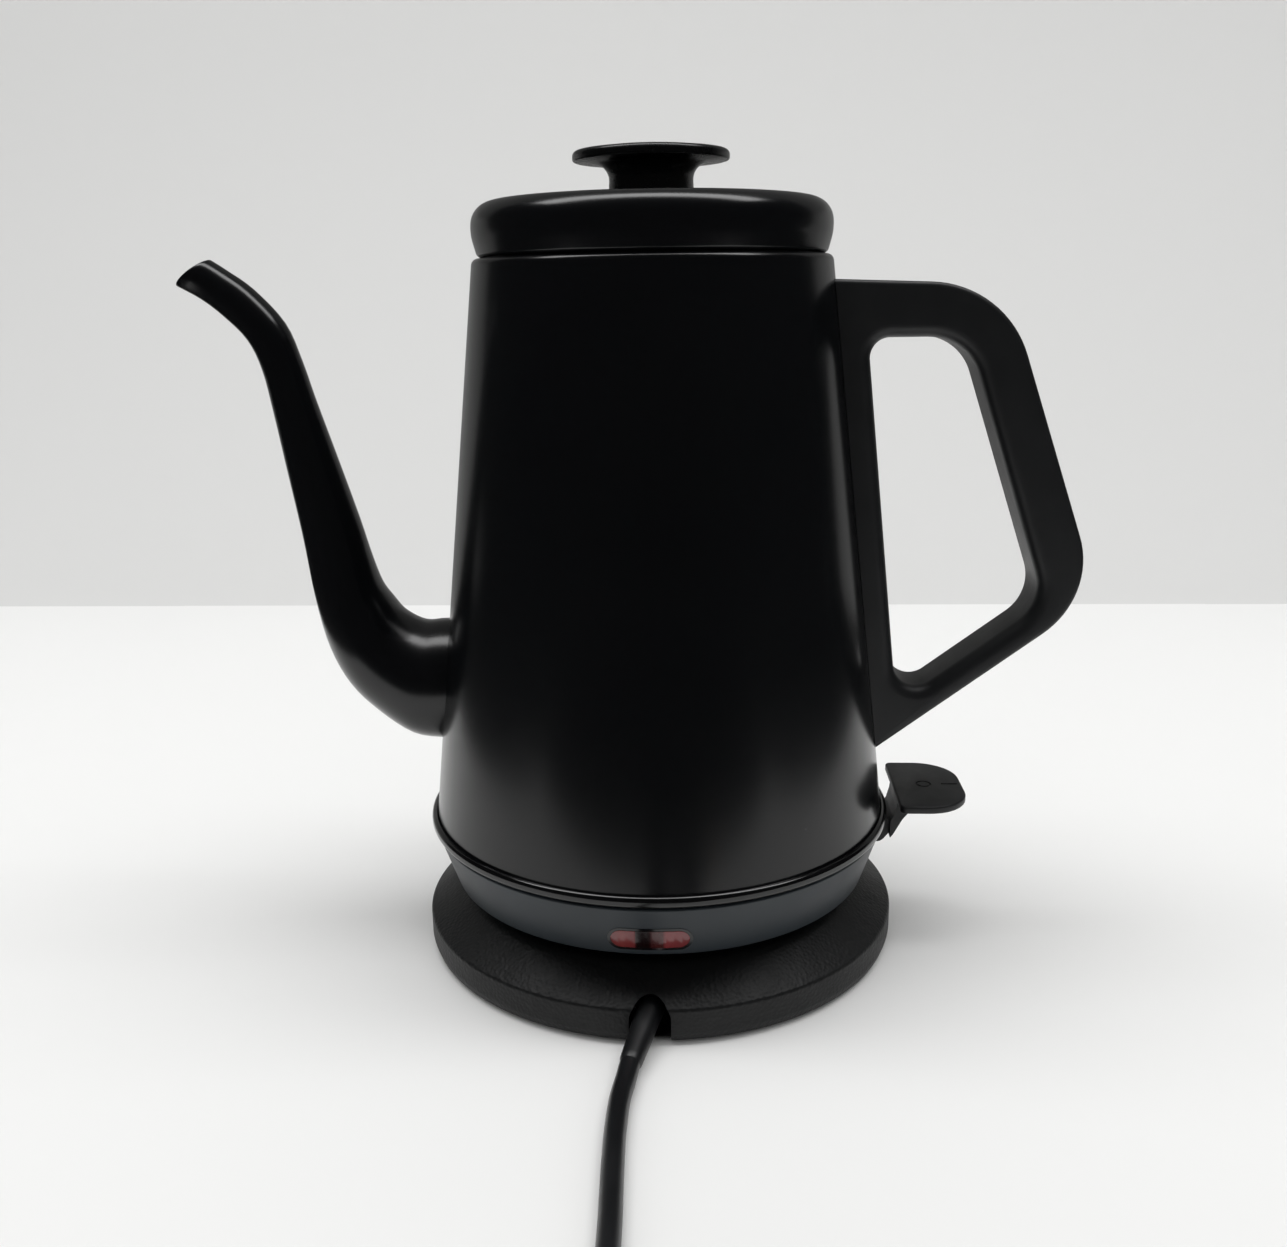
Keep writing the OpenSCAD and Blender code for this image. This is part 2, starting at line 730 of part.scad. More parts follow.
module lever_pin() {
    color("#b9bcbe") translate([pivot_x, hub_half_w + 0.4 + ear_w, pivot_z]) rotate([90, 0, 0])
        cylinder(r = pivot_r, h = 2 * (hub_half_w + 0.4 + ear_w), $fn = small_fn);
}

paddle_t = 2.6;
paddle_in_x = rim_r + 2.6;
stem_x = rim_r + 2.2;

// The lever's side view: tail under the plunger, hub, arm through the collar's slot, and stem.
function lever_side() = rounded([
    [pivot_x - 9, pivot_z - 0.8, 0.4], [pivot_x, pivot_z - 3, 2],
    [stem_x - 3.6, pivot_z - 2.4, 3], [stem_x - 0.2, pivot_z + 1.8, 4],
    [stem_x + 2.8, pivot_z + 7.4, 6], [paddle_in_x + 8, paddle_top_z - paddle_t],
    [paddle_in_x + 8, paddle_top_z - 1], [paddle_in_x, paddle_top_z - 1],
    [paddle_in_x, paddle_top_z - 5, 1], [stem_x - 0.4, pivot_z + 8, 2],
    [stem_x - 3.6, pivot_z + 3.4, 2],
    [pivot_x, pivot_z + 3, 2], [pivot_x - 4, pivot_z + 1.4, 1], [pivot_x - 9, pivot_z + 1.4, 0.4]
], 5);

// The paddle from above: a tongue with straight sides and rounded corners at its end.
function paddle_plan() =
    let (
        x0 = paddle_in_x,
        w = paddle_half_w,
        end_round = min(w * 0.7, (paddle_tip_x - x0) * 0.6)
    )
    rounded([[x0, -w, 2], [paddle_tip_x, -w, end_round], [paddle_tip_x, w, end_round], [x0, w, 2]], 9);

module switch_lever() {
    color("#121314") difference() {
        union() {
            translate([0, hub_half_w, 0]) rotate([90, 0, 0])
                linear_extrude(2 * hub_half_w) polygon(lever_side());
            translate([pivot_x, hub_half_w, pivot_z]) rotate([90, 0, 0])
                cylinder(r = 3.4, h = 2 * hub_half_w, $fn = small_fn);
            translate([0, 0, paddle_top_z - paddle_t])
                linear_extrude(paddle_t) polygon(paddle_plan());
            intersection() {
                translate([0, 9, 0]) rotate([90, 0, 0]) linear_extrude(18) polygon(lever_side());
                translate([rim_r + 1, -9, pivot_z + 1]) cube([30, 18, 30]);
            }
        }
        translate([pivot_x, switch_w, pivot_z]) rotate([90, 0, 0])
            cylinder(r = pivot_r + run, h = 2 * switch_w, $fn = small_fn);
        translate([paddle_in_x + 10.4, 0, paddle_top_z - 0.4]) ring(2.6, 1.9, 0, 2);
        translate([paddle_in_x + 16.4, -0.4, paddle_top_z - 0.4]) cube([5, 0.8, 2]);
    }
}

module switch_plunger() {
    color("#e4e2da") translate([plunger_x, 0, plunger_z])
        cylinder(r = plunger_r, h = plunger_l, $fn = small_fn);
}

// ---- collar, lamp and bottom cover ----

bottom_screw_angles = [60, 180, 300];
bottom_screw_ring = 59;
cover_rim_z = collar_z + cover_t;
slot_half_w = 8.6;
slot_low = pivot_z - 7;
slot_high = pivot_z + 6;
lens_z = collar_z + 6.2;
bezel_w = 0.9;
cover_r = collar_low_r - collar_wall - 0.1;

module pill(half_l, half_h, depth) {
    translate([0, -depth, lens_z]) rotate([-90, 0, 0]) {
        for (s = [-1, 1]) translate([s * (half_l - half_h), 0, 0])
            cylinder(r = half_h, h = depth - 55, $fn = small_fn);
        translate([-half_l + half_h, -half_h, 0]) cube([2 * (half_l - half_h), 2 * half_h, depth - 55]);
    }
}

// A band with the collar's own slope, from `inner` inside its face to `outer` outside it.
module collar_band(inner, outer) {
    rotate_extrude($fn = round_fn) polygon([
        [collar_low_r - inner, collar_z], [collar_low_r + outer, collar_z],
        [collar_top_r + outer, collar_top], [collar_top_r - inner, collar_top]
    ]);
}

module kettle_collar() {
    color("#23272d") difference() {
        union() {
            turned([
                [collar_low_r - collar_wall, collar_z], [collar_low_r, collar_z, 0.8],
                [collar_top_r, collar_top, 0.6], [collar_top_r - 1.2, collar_top],
                [collar_top_r - 1.2, rim_z], [body_foot_r - body_wall - 2.6, rim_z],
                [body_foot_r - body_wall - 2.6, collar_top - 2],
                [collar_top_r - collar_wall, collar_top - 3],
                [collar_low_r - collar_wall + 1.2, cover_rim_z + 2],
                [collar_low_r - collar_wall - 2, cover_rim_z + 2],
                [collar_low_r - collar_wall - 2, cover_rim_z],
                [collar_low_r - collar_wall, cover_rim_z]
            ], 3);
            around(bottom_screw_angles, bottom_screw_ring) {
                translate([0, 0, cover_rim_z]) cylinder(r = 4, h = 11, $fn = small_fn);
                translate([2, -1.5, cover_rim_z]) cube([collar_low_r - bottom_screw_ring - 3.4, 3, 9]);
            }
        }
        around(bottom_screw_angles, bottom_screw_ring)
            translate([0, 0, cover_rim_z - 1]) cylinder(r = screw_r, h = 9, $fn = small_fn);
        translate([pivot_x - 3, -slot_half_w, slot_low])
            cube([30, 2 * slot_half_w, slot_high - slot_low]);
        pill(lens_half_l + bezel_w, lens_half_h + bezel_w, 100);
    }
}

module rim_bead() {
    inner = body_foot_r + 0.1;
    rim_round = min(rim_h * 0.44, rim_out + 0.1);
    color("#08090a") difference() {
        turned([
            [body_foot_r + 0.1 - body_wall - 1.6, rim_z], [rim_r, rim_z, rim_round],
            [rim_r, rim_top, rim_round], [body_r(rim_top) + 0.1, rim_top, 0.4],
            [inner, body_foot_z], [inner - body_wall - 1.7, body_foot_z]
        ], 5);
    }
}

module bottom_cover() {
    color("#191a1b") difference() {
        turned([
            [connector_r + 0.1, seat_z], [bottom_screw_ring - 5, seat_z, 2],
            [bottom_screw_ring - 4, collar_z], [cover_r, collar_z],
            [cover_r, cover_rim_z], [bottom_screw_ring - 6, cover_rim_z],
            [bottom_screw_ring - 8, seat_z + cover_t, 2], [connector_r + 0.1, seat_z + cover_t]
        ], 4);
        around(bottom_screw_angles, bottom_screw_ring)
            translate([0, 0, collar_z - 1]) cylinder(r = screw_r, h = 9, $fn = small_fn);
    }
}

module bottom_screws() {
    color("#8f9294") around(bottom_screw_angles, bottom_screw_ring)
        translate([0, 0, collar_z - 1.4]) screw_up(screw_r, 9, 2.6, 1.4);
}

module lamp_bezel() {
    color("#060607") difference() {
        intersection() {
            pill(lens_half_l + bezel_w, lens_half_h + bezel_w, 100);
            collar_band(collar_wall, 0.15);
        }
        pill(lens_half_l, lens_half_h, 101);
    }
}

module lamp_lens() {
    color("#7a1014") intersection() {
        pill(lens_half_l, lens_half_h, 100);
        collar_band(collar_wall, 0.35);
    }
}

lamp_y = collar_low_r - 7;
module neon_lamp() {
    color("#d06a4a") translate([-6, -lamp_y, lens_z]) rotate([0, 90, 0])
        cylinder(r = 2.2, h = 12, $fn = small_fn);
}

module lamp_holder() {
    color("#1a1b1c") difference() {
        translate([-9, -lamp_y - 1.5, cover_rim_z]) cube([18, 7, 10]);
        translate([-6, -lamp_y, lens_z]) rotate([0, 90, 0]) cylinder(r = 2.2, h = 12, $fn = small_fn);
        translate([-6, -lamp_y - 4, lens_z - 2.2]) cube([12, 4, 4.4]);
    }
}

// ---- handle ----

handle_top_z = body_top_z - handle_drop;
handle_reach = 106.7;
grip_x = 140.9;
grip_z = 118.8;
hook_slope = 0.752;
upper_round = 33;
lower_round = 28;
open_round = 5;
edge_round = 1.6;

function hook_z(x) = grip_z - (grip_x - x) * hook_slope;

// Corners of the outside, and of the finger opening. The left ones of the outside lie in the body.
outside = [
    [40, handle_top_z, 0],
    [handle_reach, handle_top_z - (handle_reach - body_top_r) * handle_top_slope, upper_round],
    [grip_x, grip_z, lower_round],
    [62, hook_z(62), 0]
];
open_top = handle_top_z - 18.1;
open_low = 82;
opening = [
    [body_r(open_top) + handle_strip, open_top, 6],
    [96.4, open_top, 17],
    [124.8, 116.2, 14.5],
    [body_r(open_low) + handle_strip - 0.4, open_low, 7.5]
];

// The handle's outline, drawn in by d outside and opened by e inside, as a slab `depth` deep.
module handle_slab(d, e, depth) {
    translate([0, depth / 2, 0]) rotate([90, 0, 0]) linear_extrude(depth) difference() {
        polygon(rounded(inset(outside, d), 10));
        polygon(rounded(inset(opening, -e), 8));
    }
}

module body_cone(clearance) {
    rotate_extrude($fn = round_fn) polygon([
        [0, 0], [body_r(0) + clearance, 0], [body_r(300) + clearance, 300], [0, 300]
    ]);
}

// The band round the outside that the cover strip fills.
cover_half_w = handle_depth / 2 - 3;
module cover_band() {
    translate([0, cover_half_w, 0]) rotate([90, 0, 0]) linear_extrude(2 * cover_half_w) difference() {
        polygon(rounded(inset(outside, 0), 10));
        polygon(rounded(inset(outside, handle_cover_t), 10));
    }
}

bracket_w = 12;
bracket_t = 2;
top_bracket_z = handle_top_z - 11;
low_bracket_z = hook_z(body_top_r) + 30;

// A welded foot on the body with a tongue that reaches into the handle.
module bracket(z, grow) {
    r = body_r(z);
    translate([r - 6, -bracket_w / 2 - grow, z - 6 - grow])
        cube([9 + grow, bracket_w + 2 * grow, 12 + 2 * grow]);
    translate([r, -bracket_w / 2 - grow, z - bracket_t / 2 - grow])
        cube([14 + grow, bracket_w + 2 * grow, bracket_t + 2 * grow]);
}

// The screws' heads sit in wells that the cover strip closes.
handle_screw_r = 1.5;
handle_head_r = 3;
handle_head_h = 2;
handle_screw_l = 10;
top_screw_x = body_r(top_bracket_z) + 10;
top_head_z = top_bracket_z + 4;
low_screw_x = body_r(low_bracket_z) + 7;
low_head_z = hook_z(low_screw_x + handle_head_r) + handle_cover_t * 1.25 + 2.3;

module handle_screw_holes(grow) {
    translate([top_screw_x, 0, top_head_z + handle_head_h - handle_screw_l])
        cylinder(r = handle_screw_r, h = handle_screw_l, $fn = small_fn);
    translate([top_screw_x, 0, top_head_z])
        cylinder(r = handle_head_r + grow, h = 16, $fn = small_fn);
    translate([low_screw_x, 0, low_head_z - handle_head_h])
        cylinder(r = handle_screw_r, h = handle_screw_l, $fn = small_fn);
    translate([low_screw_x, 0, low_head_z - 16])
        cylinder(r = handle_head_r + grow, h = 16, $fn = small_fn);
}

module handle_shell() {
    half = handle_depth / 2;
    color("#232528") difference() {
        union() {
            handle_slab(edge_round, 4, 2 * half);
            handle_slab(edge_round / 2, 2.4, 2 * half - 1.6);
            handle_slab(0.4, 1.2, 2 * half - 3.2);
            handle_slab(0, 0, 2 * half - 5);
        }
        cover_band();
        body_cone(0.1);
        bracket(top_bracket_z, 0.1);
        bracket(low_bracket_z, 0.1);
        handle_screw_holes(0.1);
    }
}

module handle_cover() {
    color("#2a2c2f") difference() {
        cover_band();
        body_cone(0.1);
    }
}

module handle_brackets() {
    color("#9a9da0") difference() {
        union() {
            bracket(top_bracket_z, 0);
            bracket(low_bracket_z, 0);
        }
        body_cone(0);
        handle_screw_holes(0);
    }
}

module handle_screws() {
    color("#8f9294") {
        translate([top_screw_x, 0, top_head_z + handle_head_h]) rotate([180, 0, 0])
            screw_up(handle_screw_r, handle_screw_l, handle_head_r, handle_head_h);
        translate([low_screw_x, 0, low_head_z - handle_head_h])
            screw_up(handle_screw_r, handle_screw_l, handle_head_r, handle_head_h);
    }
}

// ---- lid ----

lid_z = body_top_z + 0.7;
lid_top = lid_z + lid_side_h;
crown_z = lid_top + lid_crown;
lid_wall = 0.8;
lid_lip_r = lid_r - 3.4;
plug_r = mouth_r - 1.6;
plug_low = body_top_z - 14;

module lid_shell() {
    color("#0e0f11") difference() {
        turned([
            [0, crown_z], [knob_stem_r + 2, crown_z, 8], [lid_r - 0.2, lid_top, 7],
            [lid_r + 0.7, lid_z + lid_side_h * 0.42, 16], [lid_r - 1.6, lid_z, 0.8],
            [lid_lip_r, lid_z], [lid_lip_r, lid_z + lid_wall],
            [lid_r - 1.4, lid_z + 3.5, 3], [lid_r - 1.6, lid_top - lid_wall, 6],
            [knob_stem_r, crown_z - lid_wall], [0, crown_z - lid_wall]
        ], 8);
        translate([0, 0, crown_z - 3]) cylinder(r = 2, h = 6, $fn = small_fn);
    }
}

// The inner pan of the lid: a flange on the body's rim, a skirt in the mouth and a vented floor.
module lid_plug() {
    color("#c2c5c7") difference() {
        turned([
            [0, plug_low], [plug_r, plug_low, 2], [plug_r, body_top_z - 0.1],
            [plug_r + 0.1, body_top_z], [lid_lip_r, body_top_z], [lid_lip_r, lid_z + lid_wall],
            [plug_r - lid_wall, lid_z + lid_wall], [plug_r - lid_wall, plug_low + lid_wall, 1.4],
            [0, plug_low + lid_wall]
        ], 4);
        around([0:60:300], plug_r - 16)
            translate([0, 0, plug_low - 1]) cylinder(r = 1.5, h = 4, $fn = small_fn);
    }
}

module lid_gasket() {
    gasket_z = body_top_z - 8;
    color("#5a5c5e") turned([
        [plug_r, gasket_z], [mouth_r - gap, gasket_z + 1.5, 0.5],
        [mouth_r - gap, gasket_z + 3.5, 0.5], [plug_r, gasket_z + 5]
    ]);
}

module lid_knob() {
    disc_z = crown_z + knob_h - 5.2;
    color("#0c0d0e") difference() {
        turned([
            [0, crown_z], [knob_stem_r + 0.4, crown_z, 0.6], [knob_stem_r, disc_z, 5],
            [knob_r, disc_z + 0.9, 0.7], [knob_r, disc_z + 3.7, 1.5],
            [0, crown_z + knob_h]
        ], 8);
        translate([0, 0, crown_z - 1]) cylinder(r = 2, h = 9, $fn = small_fn);
    }
}

module knob_screw() {
    color("#8f9294") translate([0, 0, crown_z - lid_wall - 2]) screw_up(2, 9.5, 4, 2);
}

// ---- drawing ----

base_cover();
base_bottom();
base_feet();
base_screws();
base_connector();
base_contacts();
base_leads();
cord_clamp();
clamp_screws();
strain_relief();
mains_cord();
cord_coil();
coil_tie();
mains_plug();
plug_blades();
slip_ring();
body_shell();
spout();
spout_strainer();
heater_plate();
heat_spreader();
heating_element();
kettle_connector();
connector_pins();
steam_tube();
tube_seal();
steam_switch();
steam_bimetal();
switch_contacts();
lever_pin();
switch_lever();
switch_plunger();
kettle_collar();
rim_bead();
bottom_cover();
bottom_screws();
lamp_bezel();
lamp_lens();
neon_lamp();
lamp_holder();
handle_shell();
handle_cover();
handle_brackets();
handle_screws();
lid_shell();
lid_plug();
lid_gasket();
lid_knob();
knob_screw();
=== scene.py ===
"""Looks of a gooseneck electric kettle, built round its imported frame.

Lengths in the tables below are millimetres, as in the part's source; `at` turns them to metres.
"""

import logging
import math
from dataclasses import dataclass
from enum import Enum
from typing import Callable, Iterable, Sequence

import bmesh
import bpy
from mathutils import Matrix, Vector


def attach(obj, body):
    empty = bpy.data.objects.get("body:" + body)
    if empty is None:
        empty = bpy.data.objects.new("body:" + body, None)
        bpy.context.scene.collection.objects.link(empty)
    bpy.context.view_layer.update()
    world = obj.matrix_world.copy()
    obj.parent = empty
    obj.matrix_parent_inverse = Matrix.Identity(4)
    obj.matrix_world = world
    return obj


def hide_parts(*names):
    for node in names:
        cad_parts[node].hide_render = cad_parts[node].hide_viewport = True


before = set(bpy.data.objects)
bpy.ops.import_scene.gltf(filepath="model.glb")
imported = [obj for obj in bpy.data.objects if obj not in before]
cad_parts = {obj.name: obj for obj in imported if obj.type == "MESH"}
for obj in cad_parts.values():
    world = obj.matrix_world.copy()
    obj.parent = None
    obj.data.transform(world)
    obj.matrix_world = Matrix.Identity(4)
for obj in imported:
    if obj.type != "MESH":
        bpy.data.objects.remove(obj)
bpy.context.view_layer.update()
log = logging.getLogger("kettle")

MM = 0.001
FULL_TURN = 2 * math.pi
SPIN_STEPS = 192

# The body's cone, in millimetres: radius and height of its foot and of its top.
FOOT_RADIUS, FOOT = 75.8, 44.0
TOP_RADIUS, TOP = 55.5, 225.0
# Points closer than this, in metres, are one.
WELD = 1e-6

Corner = tuple[float, ...]
Point2 = tuple[float, float]
Piece = bpy.types.Object
Mesh = bmesh.types.BMesh
Edge = bmesh.types.BMEdge
Tree = bpy.types.NodeTree
Socket = bpy.types.NodeSocket


# ---------------------------------------------------------------- measures and colours


def at(x: float, y: float, z: float) -> Vector:
    """A point given in millimetres, as a vector in metres."""
    return Vector((x, y, z)) * MM


def srgb(code: str, alpha: float = 1.0) -> tuple[float, float, float, float]:
    """Turns an sRGB hex colour to linear values.

    Args:
        code: six hex digits after a hash.
        alpha: the fourth value.

    Returns:
        Linear red, green and blue, and alpha.
    """
    parts = [int(code[i : i + 2], 16) / 255 for i in (1, 3, 5)]
    linear = [p / 12.92 if p <= 0.04045 else ((p + 0.055) / 1.055) ** 2.4 for p in parts]
    return (linear[0], linear[1], linear[2], alpha)


def body_radius(z: float) -> float:
    """Outer radius of the body's cone at a height, both in millimetres."""
    return TOP_RADIUS + (TOP - z) * (FOOT_RADIUS - TOP_RADIUS) / (TOP - FOOT)


# ---------------------------------------------------------------- outlines


def arc_corner(a: Corner, p: Corner, b: Corner, steps: int) -> list[Point2]:
    """The arc that rounds one corner of an outline.

    Args:
        a: the corner before it.
        p: the corner, with its radius as a third value if it has one.
        b: the corner after it.
        steps: parts that the arc is divided into.

    Returns:
        The arc's points, or the corner itself where it has no radius.
    """
    if len(p) < 3 or p[2] <= 0:
        return [(p[0], p[1])]
    here = Vector((p[0], p[1]))
    u = (Vector((a[0], a[1])) - here).normalized()
    v = (Vector((b[0], b[1])) - here).normalized()
    half = math.acos(max(-1.0, min(1.0, u.dot(v)))) / 2
    middle = here + (u + v).normalized() * p[2] / math.sin(half)
    start = here + u * p[2] / math.tan(half) - middle
    end = here + v * p[2] / math.tan(half) - middle
    first = math.atan2(start.y, start.x)
    turn = math.atan2(end.y, end.x) - first
    turn = (turn + math.pi) % FULL_TURN - math.pi
    return [
        (
            middle.x + p[2] * math.cos(first + turn * i / steps),
            middle.y + p[2] * math.sin(first + turn * i / steps),
        )
        for i in range(steps + 1)
    ]


def rounded(corners: Sequence[Corner], steps: int = 8, straights: int = 1) -> list[Point2]:
    """A closed outline from corners.

    Args:
        corners: (x, y) or (x, y, radius) of each corner.
        steps: parts to each arc.
        straights: parts to each straight stretch.

    Returns:
        The outline's points in order.
    """
    n = len(corners)
    arcs = [arc_corner(corners[i - 1], corners[i], corners[(i + 1) % n], steps) for i in range(n)]
    points: list[Point2] = []
    for i, arc in enumerate(arcs):
        points.extend(arc)
        (x0, y0), (x1, y1) = arc[-1], arcs[(i + 1) % n][0]
        for k in range(1, straights):
            share = k / straights
            points.append((x0 + (x1 - x0) * share, y0 + (y1 - y0) * share))
    return points


def box_corners(x: Point2, y: Point2, radius: float) -> list[Corner]:
    """The corners of a box from its low and high x and y, with one radius."""
    (x0, x1), (y0, y1) = x, y
    return [(x0, y0, radius), (x1, y0, radius), (x1, y1, radius), (x0, y1, radius)]


def inset(corners: Sequence[Corner], distance: float) -> list[Corner]:
    """The same corners moved in by a distance, with their radii to match."""
    moved: list[Corner] = []
    for i, p in enumerate(corners):
        here = Vector((p[0], p[1]))
        u = (Vector(corners[i - 1][:2]) - here).normalized()
        v = (Vector(corners[(i + 1) % len(corners)][:2]) - here).normalized()
        half = math.acos(max(-1.0, min(1.0, u.dot(v)))) / 2
        q = here + (u + v).normalized() * distance / math.sin(half)
        moved.append((q.x, q.y, max(0.05, p[2] - distance)))
    return moved


def smooth_line(points: Sequence[Sequence[float]], steps: int) -> list[list[float]]:
    """A Catmull-Rom line through points of any number of values."""
    line: list[list[float]] = []
    for i in range(len(points) - 1):
        a, b = points[max(0, i - 1)], points[i]
        c, d = points[i + 1], points[min(len(points) - 1, i + 2)]
        for k in range(steps + (i == len(points) - 2)):
            t = k / steps
            line.append(
                [
                    0.5
                    * (
                        2 * q
                        + (r - p) * t
                        + (2 * p - 5 * q + 4 * r - s) * t * t
                        + (3 * q - p - 3 * r + s) * t**3
                    )
                    for p, q, r, s in zip(a, b, c, d)
                ]
            )
    return line


# ---------------------------------------------------------------- mesh making


def keep(bm: Mesh, name: str, sharp: float = 34.0) -> Piece:
    """Turns a bmesh to a scene object at the origin, smooth but for its sharp edges.

    Args:
        bm: the mesh, which is freed.
        name: the object's name.
        sharp: angle in degrees from which an edge stays sharp.

    Returns:
        The new object.
    """
    mesh = bpy.data.meshes.new(name)
    bm.to_mesh(mesh)
    bm.free()
    piece = bpy.data.objects.new(name, mesh)
    bpy.context.scene.collection.objects.link(piece)
    shade(piece, sharp)
    return piece


def shade(piece: Piece, sharp: float) -> None:
    """Smooths a piece's faces and keeps its edges sharper than the angle, in degrees, sharp."""
    piece.data.shade_smooth()
    piece.data.set_sharp_from_angle(angle=math.radians(sharp))


def clean(bm: Mesh) -> Mesh:
    """Merges doubles and turns every face outwards."""
    bmesh.ops.remove_doubles(bm, verts=bm.verts, dist=WELD)
    bmesh.ops.recalc_face_normals(bm, faces=bm.faces)
    return bm


def shift(bm: Mesh, grown: dict[str, list], by: Vector) -> None:
    """Moves the vertices that an extrusion made."""
    verts = [g for g in grown["geom"] if isinstance(g, bmesh.types.BMVert)]
    bmesh.ops.translate(bm, verts=verts, vec=by)


def closed_loop(bm: Mesh, points: Iterable[Vector]) -> list[Edge]:
    """Adds a closed loop of edges through the points, and returns the edges."""
    verts = [bm.verts.new(p) for p in points]
    return [bm.edges.new((verts[i - 1], verts[i])) for i in range(len(verts))]


def spin(bm: Mesh, geom: list, steps: int) -> None:
    """Turns a line once round the Z axis, in a number of steps."""
    bmesh.ops.spin(
        bm, geom=geom, cent=(0, 0, 0), axis=(0, 0, 1), angle=FULL_TURN, steps=steps, use_merge=True
    )


def turned(name: str, corners: Sequence[Corner], steps: int = 8, sharp: float = 34.0) -> Piece:
    """A solid turned round the Z axis.

    Args:
        name: the object's name.
        corners: (radius, height, rounding) of the section's corners.
        steps: parts to each rounded corner.
        sharp: angle in degrees from which an edge stays sharp.

    Returns:
        The new object.
    """
    bm = bmesh.new()
    loop = closed_loop(bm, [at(x, 0, z) for x, z in rounded(corners, steps)])
    spin(bm, loop + list(bm.verts), SPIN_STEPS)
    return keep(clean(bm), name, sharp)


def lofted(rings: Sequence[Sequence[Vector]], capped: bool) -> Mesh:
    """Bridges rings of equal count to a tube, with flat ends where it is capped."""
    bm = bmesh.new()
    loops = [closed_loop(bm, ring) for ring in rings]
    for first, second in zip(loops, loops[1:]):
        bmesh.ops.bridge_loops(bm, edges=first + second)
    if capped:
        for loop in (loops[0], loops[-1]):
            bmesh.ops.contextual_create(bm, geom=loop)
    return clean(bm)


def slab(outline: Sequence[Point2], y0: float, y1: float) -> Mesh:
    """An outline in the XZ plane, extruded from y0 to y1."""
    bm = bmesh.new()
    loop = closed_loop(bm, [at(x, y0, z) for x, z in outline])
    face = bmesh.ops.contextual_create(bm, geom=loop)["faces"]
    shift(bm, bmesh.ops.extrude_face_region(bm, geom=face), at(0, y1 - y0, 0))
    return clean(bm)


def frame_slab(outer: Sequence[Point2], inner: Sequence[Point2], half: float) -> Mesh:
    """A frame between two outlines of equal count in the XZ plane.

    Args:
        outer: the outline outside it.
        inner: the outline of its opening.
        half: half its thickness along Y.

    Returns:
        The mesh, whose edge layer "rim" is 1 on the outer rims, 2 on the inner and 0 elsewhere.
    """
    bm = bmesh.new()
    ring = bm.verts.layers.int.new("ring")
    loops = []
    for which, line in enumerate((outer, inner), 1):
        loops.append(closed_loop(bm, [at(x, -half, z) for x, z in line]))
        for edge in loops[-1]:
            for vert in edge.verts:
                vert[ring] = which
    faces = bmesh.ops.bridge_loops(bm, edges=loops[0] + loops[1])["faces"]
    shift(bm, bmesh.ops.extrude_face_region(bm, geom=faces), at(0, 2 * half, 0))
    clean(bm)
    rim = bm.edges.layers.int.new("rim")
    for edge in bm.edges:
        a, b = edge.verts
        level = a[ring] == b[ring] and abs(a.co.y - b.co.y) < 0.5 * half * MM
        edge[rim] = a[ring] if level else 0
    return bm


def bevel(
    bm: Mesh,
    width: float,
    segments: int,
    wanted: Callable[[Edge], bool],
) -> None:
    """Bevels the edges that are wanted.

    Args:
        bm: the mesh.
        width: the bevel's offset in millimetres.
        segments: parts across it.
        wanted: says of an edge whether it is bevelled.
    """
    bmesh.ops.bevel(
        bm,
        geom=[e for e in bm.edges if wanted(e)],
        offset=width * MM,
        offset_type="OFFSET",
        segments=segments,
        profile=0.5,
        affect="EDGES",
        material=-1,
    )


def crease(degrees: float) -> Callable[[Edge], bool]:
    """A test that is true of an edge folded by more than the angle."""
    least = math.radians(degrees)
    return lambda e: len(e.link_faces) == 2 and e.calc_face_angle(0) > least


def settle(piece: Piece) -> Piece:
    """Puts a piece's modifiers into its mesh."""
    evaluated = piece.evaluated_get(bpy.context.evaluated_depsgraph_get())
    mesh = bpy.data.meshes.new_from_object(evaluated)
    piece.modifiers.clear()
    piece.data = mesh
    return piece


def eased(piece: Piece, width: float, segments: int, angle: float, sharp: float) -> None:
    """Bevels a piece's edges that are sharper than an angle, then shades it.

    Args:
        piece: the piece, with any modifiers that come first.
        width: the bevel's width in millimetres.
        segments: parts across it.
        angle: angle in degrees from which an edge is bevelled.
        sharp: angle in degrees from which an edge stays sharp afterwards.
    """
    modifier = piece.modifiers.new("edge", "BEVEL")
    modifier.width = width * MM
    modifier.segments = segments
    modifier.limit_method = "ANGLE"
    modifier.angle_limit = math.radians(angle)
    settle(piece)
    shade(piece, sharp)


class Cut(Enum):
    """What a tool does to a piece."""

    AWAY = "DIFFERENCE"
    JOIN = "UNION"


def cut(piece: Piece, tool: Piece, how: Cut = Cut.AWAY) -> None:
    """Cuts a piece with a closed tool, which is then thrown away."""
    bpy.context.view_layer.update()
    modifier = piece.modifiers.new("cut", "BOOLEAN")
    modifier.operation = how.value
    modifier.object = tool
    modifier.solver = "EXACT"
    settle(piece)
    bpy.data.objects.remove(tool)


def cone(name: str, radii: Point2, length: float, place: Matrix, segments: int) -> Piece:
    """A cone with its two radii and its length in millimetres, to cut with."""
    bm = bmesh.new()
    low, high = radii
    bmesh.ops.create_cone(
        bm, cap_ends=True, segments=segments, radius1=low * MM, radius2=high * MM,
        depth=length * MM, matrix=place,
    )
    return keep(bm, name)


def cylinder(name: str, radius: float, start: Vector, end: Vector) -> Piece:
    """A plain cylinder between two points in millimetres, to cut with."""
    along = end - start
    turn = along.to_track_quat("Z", "Y").to_matrix().to_4x4()
    place = Matrix.Translation((start + end) / 2 * MM) @ turn
    return cone(name, (radius, radius), along.length, place, 64)


